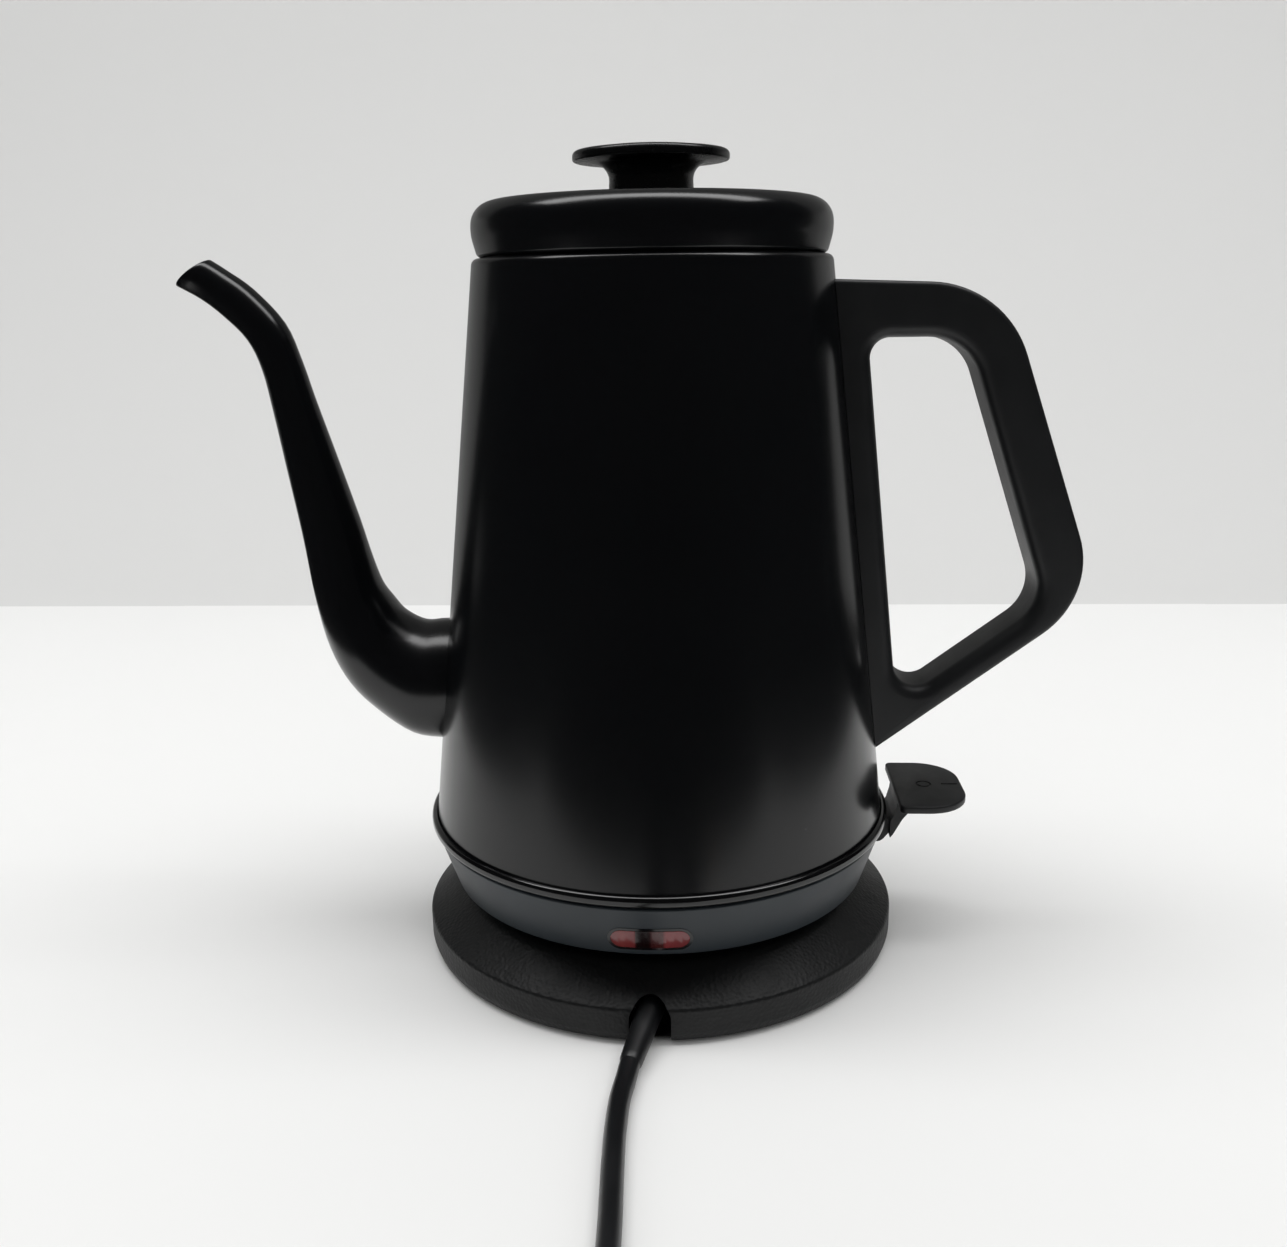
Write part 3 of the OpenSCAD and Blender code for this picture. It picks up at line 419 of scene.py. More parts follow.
def block(name: str, low: Sequence[float], high: Sequence[float]) -> Piece:
    """A plain block between two corners in millimetres, to cut with."""
    bm = bmesh.new()
    size = [h - l for l, h in zip(low, high)]
    middle = [(l + h) / 2 for l, h in zip(low, high)]
    place = Matrix.Translation(at(*middle)) @ Matrix.Diagonal((*[s * MM for s in size], 1))
    bmesh.ops.create_cube(bm, size=1, matrix=place)
    return keep(bm, name)


def body_cone(grow: float) -> Piece:
    """The body's outer cone as a solid, grown by a clearance in millimetres."""
    top = 300.0
    radii = (body_radius(0) + grow, body_radius(top) + grow)
    return cone("cone_tool", radii, top, Matrix.Translation(at(0, 0, top / 2)), SPIN_STEPS)


# ---------------------------------------------------------------- finishes


def add_node(
    tree: Tree,
    kind: str,
    values: dict[str | int, object] | None = None,
    links: dict[str | int, Socket] | None = None,
    **settings: object,
) -> bpy.types.Node:
    """Adds a node to a tree.

    Args:
        tree: the material's or world's tree.
        kind: the node's type.
        values: input values by name or place.
        links: sockets to link to inputs, by name or place.
        settings: the node's own settings.

    Returns:
        The new node.
    """
    node = tree.nodes.new(kind)
    for key, value in settings.items():
        setattr(node, key, value)
    for key, value in (values or {}).items():
        node.inputs[key].default_value = value
    for key, socket in (links or {}).items():
        tree.links.new(socket, node.inputs[key])
    return node


# A speck of dust: its reach in millimetres and its colour.
SPECK = 0.16
DUST = srgb("#6E6F70")


class Pattern(Enum):
    """How a surface's relief is laid out."""

    CLOUDS = "ShaderNodeTexNoise"
    PEBBLES = "ShaderNodeTexVoronoi"


@dataclass(frozen=True)
class Relief:
    """One layer of fine relief.

    Attributes:
        pattern: its layout.
        size: size of its features, in millimetres.
        height: its height, in millimetres.
        stretch: how much shorter its features are along each axis.
    """

    pattern: Pattern
    size: float
    height: float
    stretch: tuple[float, float, float] = (1.0, 1.0, 1.0)

    def socket(self, tree: Tree, place: Socket) -> Socket:
        """Adds the layer's texture, and returns its height."""
        kind = "ShaderNodeMapping"
        moved = add_node(tree, kind, {"Scale": self.stretch}, {"Vector": place})
        link = {"Vector": moved.outputs["Vector"]}
        values: dict[str | int, object] = {"Scale": 1 / (self.size * MM)}
        if self.pattern is Pattern.PEBBLES:
            values.update({"Smoothness": 0.35, "Randomness": 0.9})
            cells = add_node(tree, self.pattern.value, values, link, feature="SMOOTH_F1")
            return cells.outputs["Distance"]
        values.update({"Detail": 3.0, "Roughness": 0.55})
        return add_node(tree, self.pattern.value, values, link).outputs["Fac"]


def clouds(size: float, height: float, *stretch: float) -> tuple[Relief, ...]:
    """One layer of soft relief, which most finishes have."""
    return (Relief(Pattern.CLOUDS, size, height, stretch or (1.0, 1.0, 1.0)),)


@dataclass(frozen=True)
class Finish:
    """A material as it was made, for a Principled shader.

    Attributes:
        name: the material's common name and how its surface was made.
        slot: the record's material slot; not used.
        colour: its main colour.
        other: the colour that it drifts towards in patches.
        patch: size of the patches, in millimetres.
        roughness: its smoothest and roughest places.
        rub: size of the rubbed places, in millimetres.
        metallic: 1 for a bare metal.
        ior: index of refraction.
        coat: weight of a clear layer over it.
        coat_roughness: how rough that layer is.
        reliefs: its layers of relief.
        dust: how far apart its specks of dust lie, in millimetres, or 0 for none.
    """

    name: str
    slot: str
    colour: str
    other: str
    patch: float
    roughness: tuple[float, float]
    rub: float = 18.0
    metallic: float = 0.0
    ior: float = 1.5
    coat: float = 0.0
    coat_roughness: float = 0.1
    reliefs: tuple[Relief, ...] = ()
    dust: float = 0.0

    def tint(self, tree: Tree, place: Socket) -> Socket:
        """Adds the colour's nodes, and returns the colour."""
        link = {"Vector": place}
        values = {"Scale": 1 / (self.patch * MM), "Detail": 4.0}
        drift = add_node(tree, "ShaderNodeTexNoise", values, link)
        ramp = add_node(tree, "ShaderNodeValToRGB", links={"Fac": drift.outputs["Fac"]})
        ends = zip(ramp.color_ramp.elements, ((0.32, self.colour), (0.72, self.other)))
        for stop, (where, code) in ends:
            stop.position = where
            stop.color = srgb(code)
        if not self.dust:
            return ramp.outputs["Color"]
        specks = add_node(tree, "ShaderNodeTexVoronoi", {"Scale": 1 / (self.dust * MM)}, link)
        share = SPECK / self.dust
        links = {0: specks.outputs["Distance"]}
        small = add_node(tree, "ShaderNodeMath", {1: share}, links, operation="LESS_THAN")
        links = {"Fac": small.outputs[0], "Color1": ramp.outputs["Color"]}
        return add_node(tree, "ShaderNodeMixRGB", {"Color2": DUST}, links).outputs["Color"]

    def material(self) -> bpy.types.Material:
        """The Blender material, made once."""
        found = bpy.data.materials.get(self.name)
        if found:
            return found
        made = bpy.data.materials.new(self.name)
        made.use_nodes = True
        tree = made.node_tree
        tree.nodes.clear()
        place = add_node(tree, "ShaderNodeTexCoord").outputs["Object"]
        values = {"Scale": 1 / (self.rub * MM), "Detail": 5.0, "Roughness": 0.6}
        rubbed = add_node(tree, "ShaderNodeTexNoise", values, {"Vector": place})
        least, most = self.roughness
        values = {1: 0.3, 2: 0.7, 3: least, 4: most}
        rough = add_node(tree, "ShaderNodeMapRange", values, {0: rubbed.outputs["Fac"]})
        shader = add_node(
            tree,
            "ShaderNodeBsdfPrincipled",
            values={
                "Metallic": self.metallic,
                "IOR": self.ior,
                "Coat Weight": self.coat,
                "Coat Roughness": self.coat_roughness,
            },
            links={"Base Color": self.tint(tree, place), "Roughness": rough.outputs[0]},
        )
        normal: Socket | None = None
        for relief in self.reliefs:
            values = {"Strength": 1.0, "Distance": relief.height * MM}
            links = {"Height": relief.socket(tree, place)}
            bump = add_node(tree, "ShaderNodeBump", values, links)
            if normal:
                tree.links.new(normal, bump.inputs["Normal"])
            normal = bump.outputs["Normal"]
        if normal:
            tree.links.new(normal, shader.inputs["Normal"])
        add_node(tree, "ShaderNodeOutputMaterial", links={"Surface": shader.outputs["BSDF"]})
        return made


@dataclass(frozen=True)
class LampWindow(Finish):
    """Red polycarbonate whose colour carries painted light at its two ends and painted shade in a
    bar across its middle, where the dark lamp holder stands behind.
    """

    lit_and_shaded_zones: tuple[tuple[float, str], ...] = ()
    span: float = 23.6

    def tint(self, tree: Tree, place: Socket) -> Socket:
        """Adds the painted light and shade zones along the window, and returns the colour."""
        across = add_node(tree, "ShaderNodeSeparateXYZ", links={"Vector": place}).outputs["X"]
        half = self.span / 2 * MM
        values = {1: -half, 2: half, 3: 0.0, 4: 1.0}
        share = add_node(tree, "ShaderNodeMapRange", values, {0: across})
        ramp = add_node(tree, "ShaderNodeValToRGB", links={"Fac": share.outputs[0]})
        stops = ramp.color_ramp.elements
        for stop, (where, code) in zip(stops, (self.lit_and_shaded_zones[0], self.lit_and_shaded_zones[-1])):
            stop.position = where
            stop.color = srgb(code)
        for where, code in self.lit_and_shaded_zones[1:-1]:
            stops.new(where).color = srgb(code)
        return ramp.outputs["Color"]


# Silicone baked paint on steel, sprayed: satin black with a faint orange peel and stray dust.
BAKED_PAINT = Finish(
    "baked_paint_sprayed", "black_paint", "#07080A", "#090A0C", 60, (0.19, 0.235), 40,
    reliefs=clouds(1.6, 0.0035), dust=26,
)
# Stainless steel, deep drawn: bright grey with faint vertical drawing lines.
DRAWN_STEEL = Finish(
    "stainless_steel_drawn", "stainless", "#B9BBBC", "#A9ABAD", 12, (0.2, 0.34), 9, metallic=1.0,
    reliefs=clouds(0.9, 0.004, 1.0, 1.0, 0.06),
)
# ABS, moulded in an etched tool: leather grain about a millimetre across.
GRAINED_ABS = Finish(
    "abs_leather_grain_moulded", "base_abs", "#0A0B0C", "#0E0F10", 30, (0.47, 0.55), 12, ior=1.42,
    reliefs=(Relief(Pattern.PEBBLES, 1.2, 0.15), Relief(Pattern.CLOUDS, 0.35, 0.02)),
)
# Polypropylene, moulded smooth: satin with a cool cast.
SATIN_PP = Finish(
    "polypropylene_satin_moulded", "collar_pp", "#1F252A", "#252C31", 40, (0.36, 0.44), 16,
    reliefs=clouds(0.5, 0.003),
)
# Polypropylene, moulded in a spark-eroded tool: a fine even sparkle-free grit.
SPARK_PP = Finish(
    "polypropylene_spark_moulded", "handle_pp", "#151618", "#1A1B1D", 14, (0.4, 0.48), 10,
    reliefs=clouds(0.45, 0.028),
)
# ABS, moulded in a polished tool: piano black that mirrors the room softly.
GLOSS_ABS = Finish(
    "abs_polished_moulded", "gloss_abs", "#060607", "#080809", 30, (0.12, 0.2), 14, coat=0.25,
    coat_roughness=0.08, reliefs=clouds(3.0, 0.002),
)
# ABS, moulded in a finely blasted tool: the lever's flat dark grey touch surface.
MATT_ABS = Finish(
    "abs_fine_matt_moulded", "gloss_abs", "#131415", "#17181A", 12, (0.42, 0.5), 8,
    reliefs=clouds(0.35, 0.008),
)
# Phenolic, compression moulded: black with a low satin sheen.
PHENOLIC = Finish(
    "phenolic_moulded", "knob_phenolic", "#070809", "#0A0B0C", 20, (0.24, 0.3), 12,
    reliefs=clouds(0.8, 0.003),
)
# Soft PVC, extruded over the wires: black, a little oily, with faint draw waves.
PVC_SHEATH = Finish(
    "pvc_sheath_extruded", "lead_pvc", "#0D0E10", "#131416", 25, (0.3, 0.4), 10, ior=1.52,
    reliefs=clouds(1.4, 0.006),
)
# Soft PVC, moulded on to the lead: the same black with a fine matt grain.
PVC_MOULDED = Finish(
    "pvc_moulded", "relief_pvc", "#0E0F11", "#131416", 15, (0.38, 0.46), 8, ior=1.52,
    reliefs=clouds(0.4, 0.01),
)
# Red polycarbonate, moulded clear: painted light on its two ends and painted shade in a bar where
# the holder stands behind.
RED_WINDOW = LampWindow(
    "polycarbonate_red_painted_light_and_shade", "lens_red", "#5A1216", "#5A1216", 10, (0.16, 0.22), 10, ior=1.58,
    coat=0.3, coat_roughness=0.05, reliefs=clouds(1.2, 0.004),
    # These stops paint light and shade: brighter ends for light through the lens, and a near-black
    # bar for the shaded holder behind it.
    lit_and_shaded_zones=(
        (0.0, "#64292B"), (0.14, "#74302F"), (0.30, "#68282A"), (0.33, "#120203"),
        (0.49, "#100202"), (0.52, "#3C1415"), (0.66, "#451A1A"), (0.70, "#783133"),
        (1.0, "#6C2E30"),
    ),
)
# Glass-filled nylon, moulded: plain black, slightly streaked by the fibres.
FILLED_NYLON = Finish(
    "glass_filled_nylon_moulded", "connector_nylon", "#141516", "#1B1C1D", 8, (0.4, 0.52), 7,
    reliefs=clouds(0.5, 0.01, 1.0, 1.0, 0.3),
)
# Acetal, turned smooth: the dark slip ring and the coil's strap.
DARK_NYLON = Finish(
    "nylon_dark_moulded", "clamp_nylon", "#242526", "#2B2C2D", 10, (0.36, 0.46), 7,
    reliefs=clouds(0.6, 0.008),
)
# Nylon without dye, moulded: milky off-white that yellows in patches.
NATURAL_NYLON = Finish(
    "nylon_natural_moulded", "switch_nylon", "#DAD8CE", "#CFCBBB", 9, (0.38, 0.5), 6,
    reliefs=clouds(0.6, 0.01),
)
# Rubber, moulded: dusty grey-black feet.
FOOT_RUBBER = Finish(
    "rubber_moulded", "foot_rubber", "#2B2B2C", "#363637", 5, (0.6, 0.75), 4, ior=1.52,
    reliefs=clouds(0.5, 0.02),
)
# Silicone rubber, moulded: matt red-brown seal.
RED_SILICONE = Finish(
    "silicone_red_moulded", "silicone", "#8C3328", "#7C2C22", 5, (0.45, 0.6), 4, ior=1.41,
    reliefs=clouds(0.6, 0.012),
)
# Silicone rubber, moulded: the lid's soft grey seal.
GREY_SILICONE = Finish(
    "silicone_grey_moulded", "silicone_grey", "#6C6D6E", "#5D5E60", 6, (0.45, 0.6), 4, ior=1.41,
    reliefs=clouds(0.6, 0.012),
)
# Brass, stamped: warm yellow, a little tarnished.
BRASS = Finish(
    "brass_stamped", "contact_brass", "#C8A45C", "#A98748", 4, (0.22, 0.4), 3, metallic=1.0,
    reliefs=clouds(0.3, 0.004),
)
# Bimetal, rolled: duller and greyer than brass.
BIMETAL = Finish(
    "bimetal_rolled", "bimetal", "#A39468", "#8C7E5A", 3, (0.3, 0.45), 3, metallic=1.0,
    reliefs=clouds(0.3, 0.003, 1.0, 0.1, 1.0),
)
# Steel, zinc plated and cross-recessed: cold grey screws.
ZINC_STEEL = Finish(
    "steel_zinc_plated", "screw_steel", "#9DA0A2", "#84878A", 3, (0.26, 0.42), 2, metallic=1.0,
    reliefs=clouds(0.3, 0.004),
)
# Aluminium, as cast: pale grey, grainy.
CAST_ALUMINIUM = Finish(
    "aluminium_cast", "cast_aluminium", "#A7A9AA", "#8F9193", 8, (0.42, 0.6), 5, metallic=1.0,
    reliefs=clouds(0.8, 0.04),
)
# Aluminium, drawn and oxidised: the heating element's dull sheath.
DULL_ALUMINIUM = Finish(
    "aluminium_oxidised", "element_sheath", "#77797A", "#66686A", 6, (0.42, 0.55), 4, metallic=1.0,
    reliefs=clouds(0.5, 0.01),
)
# Soda glass, blown: the small lamp, tinted by its gas.
LAMP_GLASS = Finish(
    "glass_blown_tinted", "lamp_glass", "#D89070", "#C97E60", 4, (0.05, 0.12), 3, ior=1.52,
    coat=0.3, coat_roughness=0.03,
)


def dress(piece: Piece, body: str, *finishes: Finish) -> Piece:
    """Gives a piece its finishes and makes it ride on a body."""
    piece.data.materials.clear()
    for finish in finishes:
        piece.data.materials.append(finish.material())
    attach(piece, body)
    log.info("%s rides on %s in %s", piece.name, body, finishes[0].name)
    return piece


def smoothed(node: str, sharp: float = 34.0, edge: float = 0.0) -> Piece:
    """A copy of a CAD node with its facets merged and its edges eased, to stand for it.

    Args:
        node: the CAD node.
        sharp: angle in degrees from which an edge stays sharp.
        edge: width of the bevel on its edges in millimetres, or 0 for none.

    Returns:
        The new object.
    """
    bm = bmesh.new()
    bm.from_mesh(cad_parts[node].data)
    bmesh.ops.remove_doubles(bm, verts=bm.verts, dist=WELD)
    bmesh.ops.dissolve_limit(
        bm, angle_limit=math.radians(0.4), verts=bm.verts, edges=bm.edges
    )
    piece = keep(bm, f"{node}_finished", sharp)
    if edge:
        eased(piece, edge, 2, sharp, sharp)
    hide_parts(node)
    return piece


# ---------------------------------------------------------------- sub-assemblies


@dataclass
class PowerBase:
    """The round base that stays on the table, in millimetres."""

    body: str = "power_base"
    radius: float = 79.7
    side_top: float = 11.5
    deck_radius: float = 66.0
    deck: float = 20.0
    wall: float = 2.2
    stand: float = 1.2
    notch: float = 6.2
    notch_height: float = 8.2

    def cover(self) -> Piece:
        """The grained top moulding with the lead's arched notch cut in its side."""
        under = self.deck - self.wall
        slip, hub, seat = 40.3, 24.1, 18.5
        piece = turned(
            "base_cover_moulding",
            [
                (self.radius - 0.9, self.stand, 0.4),
                (self.radius, self.stand + 2.5, 3),
                (self.radius, self.side_top, 1.4),
                (self.deck_radius, self.deck, 4),
                (slip, self.deck, 0.4),
                (slip, seat),
                (hub, seat),
                (hub, seat - self.wall),
                (slip + self.wall, seat - self.wall),
                (slip + self.wall + 1, under),
                (self.deck_radius - 0.6, under, 3),
                (self.radius - self.wall, self.side_top - 1.4, 1),
                (self.radius - self.wall, self.stand),
            ],
        )
        crown = self.notch_height + self.notch
        arch = [
            (-self.notch, -2), (self.notch, -2),
            (self.notch, crown, self.notch - 0.01), (-self.notch, crown, self.notch - 0.01),
        ]
        tunnel = slab(rounded(arch, 16), -self.radius - 20, -self.deck_radius + 2)
        cut(piece, keep(tunnel, "notch_tool"))
        eased(piece, 0.45, 3, 50, 40)
        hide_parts("base_cover")
        return dress(piece, self.body, GRAINED_ABS)

    def inside(self) -> None:
        """The plate, feet, screws, connector and contacts."""
        for node, finish, edge in (
            ("base_bottom", GRAINED_ABS, 0.2),
            ("base_feet", FOOT_RUBBER, 0.3),
            ("base_screws", ZINC_STEEL, 0.0),
            ("base_connector", FILLED_NYLON, 0.25),
            ("base_contacts", BRASS, 0.0),
            ("base_leads", PVC_SHEATH, 0.0),
            ("cord_clamp", DARK_NYLON, 0.3),
            ("clamp_screws", ZINC_STEEL, 0.0),
        ):
            dress(smoothed(node, edge=edge), self.body, finish)
        dress(smoothed("slip_ring", edge=0.2), "turn_ring", DARK_NYLON)


@dataclass
class MainsLead:
    """The lead from the base's notch to its coil and its plug, in millimetres."""

    body: str = "power_base"
    thick: float = 6.0
    exit: tuple[float, float, float] = (-1.4, -78.0, 6.8)
    relief_route: tuple[tuple[float, float, float], ...] = (
        (0, -62, 8.2), (0, -70.9, 8), (-1.4, -78, 6.8), (-3.2, -86, 5.2), (-5, -94, 3.8),
    )
    route: tuple[tuple[float, float, float], ...] = (
        (-1.4, -78, 6.8), (-3.2, -86, 5.2), (-5, -94, 3.8), (-5.8, -100, 3.2), (-6.8, -108, 3),
        (-7.2, -120, 3), (-7, -132, 3), (-6.5, -145, 3), (-6, -158, 3), (-5.8, -172, 3),
        (-5.8, -186, 3.1), (-5.9, -200, 3.3), (-6, -212, 3.5),
    )
    tail: tuple[tuple[float, float, float], ...] = (
        (36, -258, 9.5), (46, -258, 9.2), (58, -258, 8.6), (73, -258, 8),
    )
    relief_radius: float = 4.6
    relief_taper: float = 1.35
    coil: tuple[float, float] = (30.0, -222.0)
    inner: float = 30.0
    outer: float = 36.0
    low: float = 3.6
    high: float = 9.6
    plug: tuple[float, float, float] = (70.0, -258.0, 8.0)

    def coil_points(self) -> list[tuple[float, float, float]]:
        """The coil's turns: out on the table, in beside them, up, and out again on top."""
        stages = (
            # start angle, end angle, radius at each, height at each
            (180, 490, self.outer, self.outer, self.low, self.low),
            (490, 535, self.outer, self.inner, self.low, self.low),
            (535, 800, self.inner, self.inner, self.low, self.low),
            (800, 850, self.inner, self.inner, self.low, self.high),
            (850, 1110, self.inner, self.inner, self.high, self.high),
            (1110, 1155, self.inner, self.outer, self.high, self.high),
            (1155, 1350, self.outer, self.outer, self.high, self.high),
        )
        points = []
        for start, end, r0, r1, z0, z1 in stages:
            count = max(3, round((end - start) / 15))
            for k in range(count):
                share = k / count
                eased = share * share * (3 - 2 * share)
                angle = math.radians(start + (end - start) * share)
                radius = r0 + (r1 - r0) * eased
                points.append(
                    (
                        self.coil[0] + radius * math.cos(angle),
                        self.coil[1] + radius * math.sin(angle),
                        z0 + (z1 - z0) * eased,
                    )
                )
        points.append((self.coil[0], self.coil[1] - self.outer, self.high))
        return points

    def lead(self) -> Piece:
        """The sheathed lead as one curve."""
        points = [*self.route, *self.coil_points(), *self.tail]
        curve = bpy.data.curves.new("mains_lead", "CURVE")
        curve.dimensions = "3D"
        curve.resolution_u = 6
        curve.bevel_depth = self.thick / 2 * MM
        curve.bevel_resolution = 7
        curve.use_fill_caps = True
        spline = curve.splines.new("BEZIER")
        spline.bezier_points.add(len(points) - 1)
        for knot, point in zip(spline.bezier_points, points):
            knot.co = at(*point)
            knot.handle_left_type = knot.handle_right_type = "AUTO"
        piece = bpy.data.objects.new("mains_lead", curve)
        bpy.context.scene.collection.objects.link(piece)
        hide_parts("mains_cord", "cord_coil")
        return dress(piece, self.body, PVC_SHEATH)

    def relief(self) -> Piece:
        """The tapered sleeve where the lead leaves the base."""
        line = smooth_line(self.relief_route, 6)
        rings = []
        for i, point in enumerate(line):
            ahead = Vector(line[min(i + 1, len(line) - 1)]) - Vector(line[max(i - 1, 0)])
            share = i / (len(line) - 1)
            radius = self.relief_radius - self.relief_taper * share
            if i == len(line) - 1:
                radius -= 0.25  # the end's rounding
            side = ahead.cross(Vector((0, 0, 1))).normalized()
            up = side.cross(ahead).normalized()
            rings.append(
                [
                    (Vector(point) + radius * (side * math.cos(a) + up * math.sin(a))) * MM
                    for a in (FULL_TURN * k / 32 for k in range(32))
                ]
            )
        piece = keep(lofted(rings, True), "strain_relief_sleeve")
        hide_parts("strain_relief")
        return dress(piece, self.body, PVC_MOULDED)

    def tie(self) -> Piece:
        """The strap round the coil."""
        piece = smoothed("coil_tie", edge=0.25)
        return dress(piece, self.body, DARK_NYLON)

    def plug_body(self) -> Piece:
        """The moulded plug: a rounded block, waisted for the fingers, with grip ribs."""
        sections = (
            (0, 5.2, 4.6, 4.4), (1.2, 6.4, 5.4, 4.6), (6, 7.6, 6.4, 4.8), (12, 10.6, 7.5, 4.9),
            (20, 11.8, 7.9, 4.6), (30, 12, 8, 4.2), (33.2, 11.9, 7.9, 4.0), (34, 11.3, 7.3, 3.6),
        )
        x0, y0, z0 = self.plug
        rings = []
        for along, wide, tall, corner in sections:
            outline = rounded(box_corners((-wide, wide), (-tall, tall), corner), 6)
            rings.append([at(x0 + along, y0 + a, z0 + b) for a, b in outline])
        bm = lofted(rings, True)
        piece = keep(bm, "mains_plug_body", 50)
        for side in (-1, 1):
            for k in range(4):
                low = (x0 + 15 + 3.6 * k, y0 + side * 12 - 0.9, z0 - 5)
                high = (x0 + 16.4 + 3.6 * k, y0 + side * 12 + 0.9, z0 + 5)
                cut(piece, block("grip_tool", low, high))
        shade(piece, 40)
        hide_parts("mains_plug")
        return dress(piece, self.body, PVC_MOULDED)

    def blades(self) -> Piece:
        """The plug's two blades."""
        return dress(smoothed("plug_blades", edge=0.25), self.body, BRASS)

    def lay(self) -> None:
        lead = self.lead()
        others = [self.relief(), self.tie(), self.plug_body(), self.blades()]


@dataclass
class Vessel:
    """The painted body, its spout, its collar and the lamp, in millimetres."""

    body: str = "kettle"
    foot: float = FOOT
    top: float = TOP
    wall: float = 0.8
    mouth: float = 46.0
    spout_height: float = 88.6
    spout_radius: float = 19.4
    spout_pairs: tuple[tuple[float, float, float, float], ...] = (
        (-82.2, 70.7, -79, 107.6),
        (-93.4, 78.2, -86, 111.3),
        (-102.6, 87.4, -90, 116.4),
        (-109.1, 99.9, -93.2, 121.7),
        (-113.1, 116.7, -95.9, 130.7),
        (-116.1, 139.6, -98.9, 142.8),
        (-119.3, 160.3, -105.1, 164.2),
        (-122.1, 178.5, -110.3, 181.7),
        (-124.6, 192.2, -113.8, 194.4),
        (-128.6, 201.9, -118.2, 206.1),
        (-135.7, 209.5, -127.2, 216.4),
        (-142.6, 215, -135.4, 222.4),
        (-150.2, 219.3, -140.2, 225.5),
    )

    def shell(self) -> Piece:
        """The body, painted outside and bare steel inside, open to the spout."""
        inner = self.top - self.wall
        foot_radius, top_radius = FOOT_RADIUS, TOP_RADIUS
        piece = turned(
            "body_shell_painted",
            [
                (self.mouth, self.top, 0.5),
                (top_radius, self.top, 2.2),
                (foot_radius, self.foot),
                (foot_radius - self.wall, self.foot),
                (top_radius - self.wall, inner, 1.4),
                (self.mouth + self.wall, inner),
                (self.mouth + self.wall, self.top - 10),
                (self.mouth, self.top - 10),
            ],
            12,
        )
        hole = cylinder(
            "spout_tool",
            self.spout_radius - 1,
            Vector((-85, 0, self.spout_height)),
            Vector((-20, 0, self.spout_height)),
        )
        cut(piece, hole)
        shade(piece, 30)
        dress(piece, self.body, BAKED_PAINT, DRAWN_STEEL)
        for face in piece.data.polygons:
            place = face.center / MM
            facing = face.normal.dot(Vector((place.x, place.y, 0)).normalized())
            outside = facing > 0.3 or face.normal.z > 0.2
            face.material_index = 0 if outside and place.z > self.foot + 0.1 else 1
        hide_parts("body_shell")
        return piece

    def spout_rings(self) -> list[list[Vector]]:
        """Rings of the spout's outside, the first laid in the body's wall."""
        height, radius = self.spout_height, self.spout_radius
        root = (-72, height - radius, -72, height + radius)
        lines = smooth_line([root, *self.spout_pairs], 4)
        sides = 64
        rings = []
        for i, (x0, z0, x1, z1) in enumerate(lines):
            low, high = Vector((x0, 0, z0)), Vector((x1, 0, z1))
            half = (high - low).length / 2
            up = (high - low).normalized()
            wide = half * 0.93 if i == len(lines) - 1 else half
            ring = []
            for k in range(sides):
                angle = FULL_TURN * k / sides
                p = (low + high) / 2 + up * half * math.cos(angle)
                p.y = wide * math.sin(angle)
                if i == 0:
                    p.x = -math.sqrt((body_radius(p.z) - 0.4) ** 2 - p.y**2)
                ring.append(p * MM)
            rings.append(ring)
        return rings

    def spout(self) -> Piece:
        """The spout: one drawn tube, welded to the body and cut slantwise at its lip."""
        bm = lofted(self.spout_rings(), False)
        piece = keep(bm, "spout_painted", 60)
        modifier = piece.modifiers.new("wall", "SOLIDIFY")
        modifier.thickness = 1.0 * MM
        modifier.offset = -1
        modifier.use_even_offset = True
        eased(piece, 0.25, 2, 60, 60)
        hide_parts("spout")
        return dress(piece, self.body, BAKED_PAINT)

    def collar(self) -> Piece:
        """The collar with its lever slot and its lamp opening."""
        low, high, bottom, top, wall = 70.2, 76.2, 24.5, 42.2, 2.4
        inner = FOOT_RADIUS - self.wall - 2.6
        piece = turned(
            "collar_moulding",
            [
                (low - wall, bottom), (low, bottom, 0.8), (high, top, 0.6), (high - 1.2, top),
                (high - 1.2, top + 0.8), (inner, top + 0.8), (inner, top - 2),
                (high - wall, top - 3),
                (low - wall + 1.2, bottom + 4), (low - wall - 2, bottom + 4),
                (low - wall - 2, bottom + 2), (low - wall, bottom + 2),
            ],
            6,
        )
        cut(piece, block("slot_tool", (64, -8.6, 27), (100, 8.6, 40)))
        half_long, half_high, level = 12.7, 4.2, 30.7
        ends = (level - half_high, level + half_high)
        pill = rounded(box_corners((-half_long, half_long), ends, half_high - 0.01), 12)
        cut(piece, keep(slab(pill, -90, -50), "pill_tool"))
        shade(piece, 30)
        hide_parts("kettle_collar")
        return dress(piece, self.body, SATIN_PP)

    def rim(self) -> Piece:
        """The glossy bead that covers the body's foot."""
        foot_radius, out, low, top = FOOT_RADIUS, 77.6, 43.0, 46.6
        piece = turned(
            "rim_bead_gloss",
            [
                (foot_radius + 0.1 - self.wall - 1.6, low), (out, low, 1.5), (out, top, 1.5),
                (body_radius(top) + 0.1, top, 0.4), (foot_radius + 0.1, self.foot),
                (foot_radius - self.wall - 1.6, self.foot),
            ],
            8,
        )
        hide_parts("rim_bead")
        return dress(piece, self.body, GLOSS_ABS)

    def lamp(self) -> None:
        """The lamp's window in its black surround."""
        dress(smoothed("lamp_bezel", sharp=30), self.body, GLOSS_ABS)
        dress(smoothed("lamp_lens", sharp=30, edge=0.25), self.body, RED_WINDOW)
        dress(smoothed("neon_lamp"), self.body, LAMP_GLASS)
        dress(smoothed("lamp_holder", edge=0.2), self.body, FILLED_NYLON)

